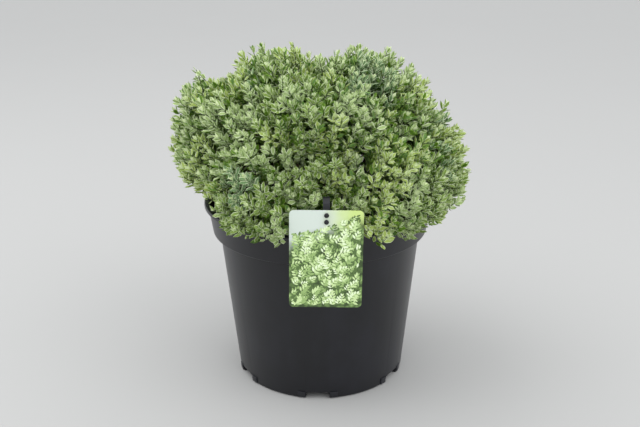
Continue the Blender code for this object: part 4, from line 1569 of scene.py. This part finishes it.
@dataclass(frozen=True)
class SoftLight:
    """One square area light."""

    name: str
    place: tuple[float, float, float]
    size: float
    power: float
    colour: Colour = (1.0, 1.0, 1.0)

    def build(self) -> None:
        """Hangs the light, aimed at the plant."""
        light = bpy.data.lights.new(self.name, "AREA")
        light.shape = "SQUARE"
        light.size = self.size
        light.energy = self.power
        light.color = self.colour
        item = bpy.data.objects.new(self.name, light)
        item.location = self.place
        aim = Vector((0, 0, 0.2)) - Vector(self.place)
        item.rotation_euler = aim.to_track_quat("-Z", "Y").to_euler()
        bpy.context.scene.collection.objects.link(item)


@dataclass(frozen=True)
class Studio:
    """The pale floor, the soft lights and the camera."""

    camera_place: tuple[float, float, float] = (0.0004, -0.9677, 0.5335)
    pitch_deg: float = 19.839
    roll_deg: float = -0.47
    focal_pixels: float = 900
    image_width: float = 640
    sensor: float = 36
    floor_size: float = 60
    ambient: float = 1.29
    lights: tuple[SoftLight, ...] = (
        SoftLight("key", (-1.05, 0.0, 1.85), 1.8, 14.2),
        SoftLight("fill", (1.3, -1.1, 1.7), 1.8, 13),
    )

    def floor(self) -> None:
        """The floor, which is no part of the object."""
        bm = bmesh.new()
        bmesh.ops.create_grid(bm, x_segments=2, y_segments=2, size=self.floor_size)
        bmesh.ops.translate(bm, verts=bm.verts, vec=(0, 0, -0.05 * MM))
        item = from_bmesh("floor", bm)
        item.data.materials.append(StudioPaper("studio_paper", linear(177, 177, 176)).material())

    def world(self) -> None:
        """An even sky of studio light."""
        world = bpy.data.worlds.new("studio")
        world.use_nodes = True
        background = world.node_tree.nodes["Background"]
        background.inputs["Color"].default_value = (0.97, 0.985, 1.0, 1.0)
        background.inputs["Strength"].default_value = self.ambient
        bpy.context.scene.world = world

    def camera(self) -> None:
        """The camera at the photograph's angle."""
        data = bpy.data.cameras.new("camera")
        data.sensor_width = self.sensor
        data.lens = self.focal_pixels / self.image_width * self.sensor
        item = bpy.data.objects.new("camera", data)
        tip = Matrix.Rotation(math.radians(90 - self.pitch_deg), 4, "X")
        roll = Matrix.Rotation(math.radians(self.roll_deg), 4, "Z")
        item.matrix_world = Matrix.Translation(self.camera_place) @ tip @ roll
        bpy.context.scene.collection.objects.link(item)
        bpy.context.scene.camera = item

    def build(self) -> None:
        """Sets the floor, the lights and the camera."""
        bpy.context.scene.view_settings.view_transform = "Standard"
        self.floor()
        self.world()
        for light in self.lights:
            light.build()
        self.camera()


def clear_scene() -> None:
    """Removes what a new file holds."""
    for item in list(bpy.data.objects):
        bpy.data.objects.remove(item, do_unlink=True)


def main() -> None:
    """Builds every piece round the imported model."""
    logging.basicConfig(level=logging.INFO, format="%(message)s")
    clear_scene()
    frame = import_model()
    Studio().build()
    LOG.info("studio: floor, lights and camera")

    pot_black = MouldedPlastic("pot_black", linear(7, 8, 15), linear(20, 21, 29), 0.29, 0.43)
    holder_black = MouldedPlastic("holder_black", linear(10, 12, 18), linear(20, 22, 28), 0.45, 0.6)
    pad_black = MouldedPlastic("pad_black", linear(20, 21, 27), linear(38, 39, 45), 0.35, 0.5)
    NurseryPot().build(pot_black, pad_black)
    LOG.info("pot: turned, notched and drained")
    peat = Crumbs("peat", linear(30, 24, 19), linear(62, 50, 40))
    chips = Crumbs("bark_chips", linear(58, 44, 33), linear(110, 88, 66))
    PottingMix().build(peat, chips)
    LOG.info("mix: surface and crumbs")

    crown = Crown()
    bark = Limbs(crown).build(Bark("bark", linear(62, 50, 38), linear(128, 108, 84)))
    LOG.info("limbs: stem and %d boughs", len(crown.masses))
    Foliage(crown, KeepClear(), ShootRule(), LeafShape(), seed=3).build(bark)

    paper = PrintedCard(
        "card_print",
        head=linear(212, 223, 214),
        glow=linear(206, 228, 140),
        light=linear(168, 198, 126),
        middle=linear(118, 148, 84),
        dark=linear(58, 78, 40),
        fade_from=0.212,
        fade_to=0.236,
        slope=0.3,
    )
    inks = (
        PlainTone("ink_dark", linear(90, 116, 64), 0.35),
        PlainTone("ink_middle", linear(156, 186, 116), 0.35),
        PlainTone("ink_light", linear(204, 228, 164), 0.35),
        PlainTone("ink_pale", linear(230, 246, 206), 0.35),
    )
    PlantLabel().build(frame["nodes"]["label_card"], paper, inks)
    Holder().build(frame["nodes"]["label_holder"], holder_black)
    LOG.info("label: card, sprigs, strap and peg caps")


if __name__ == "__main__":
    main()
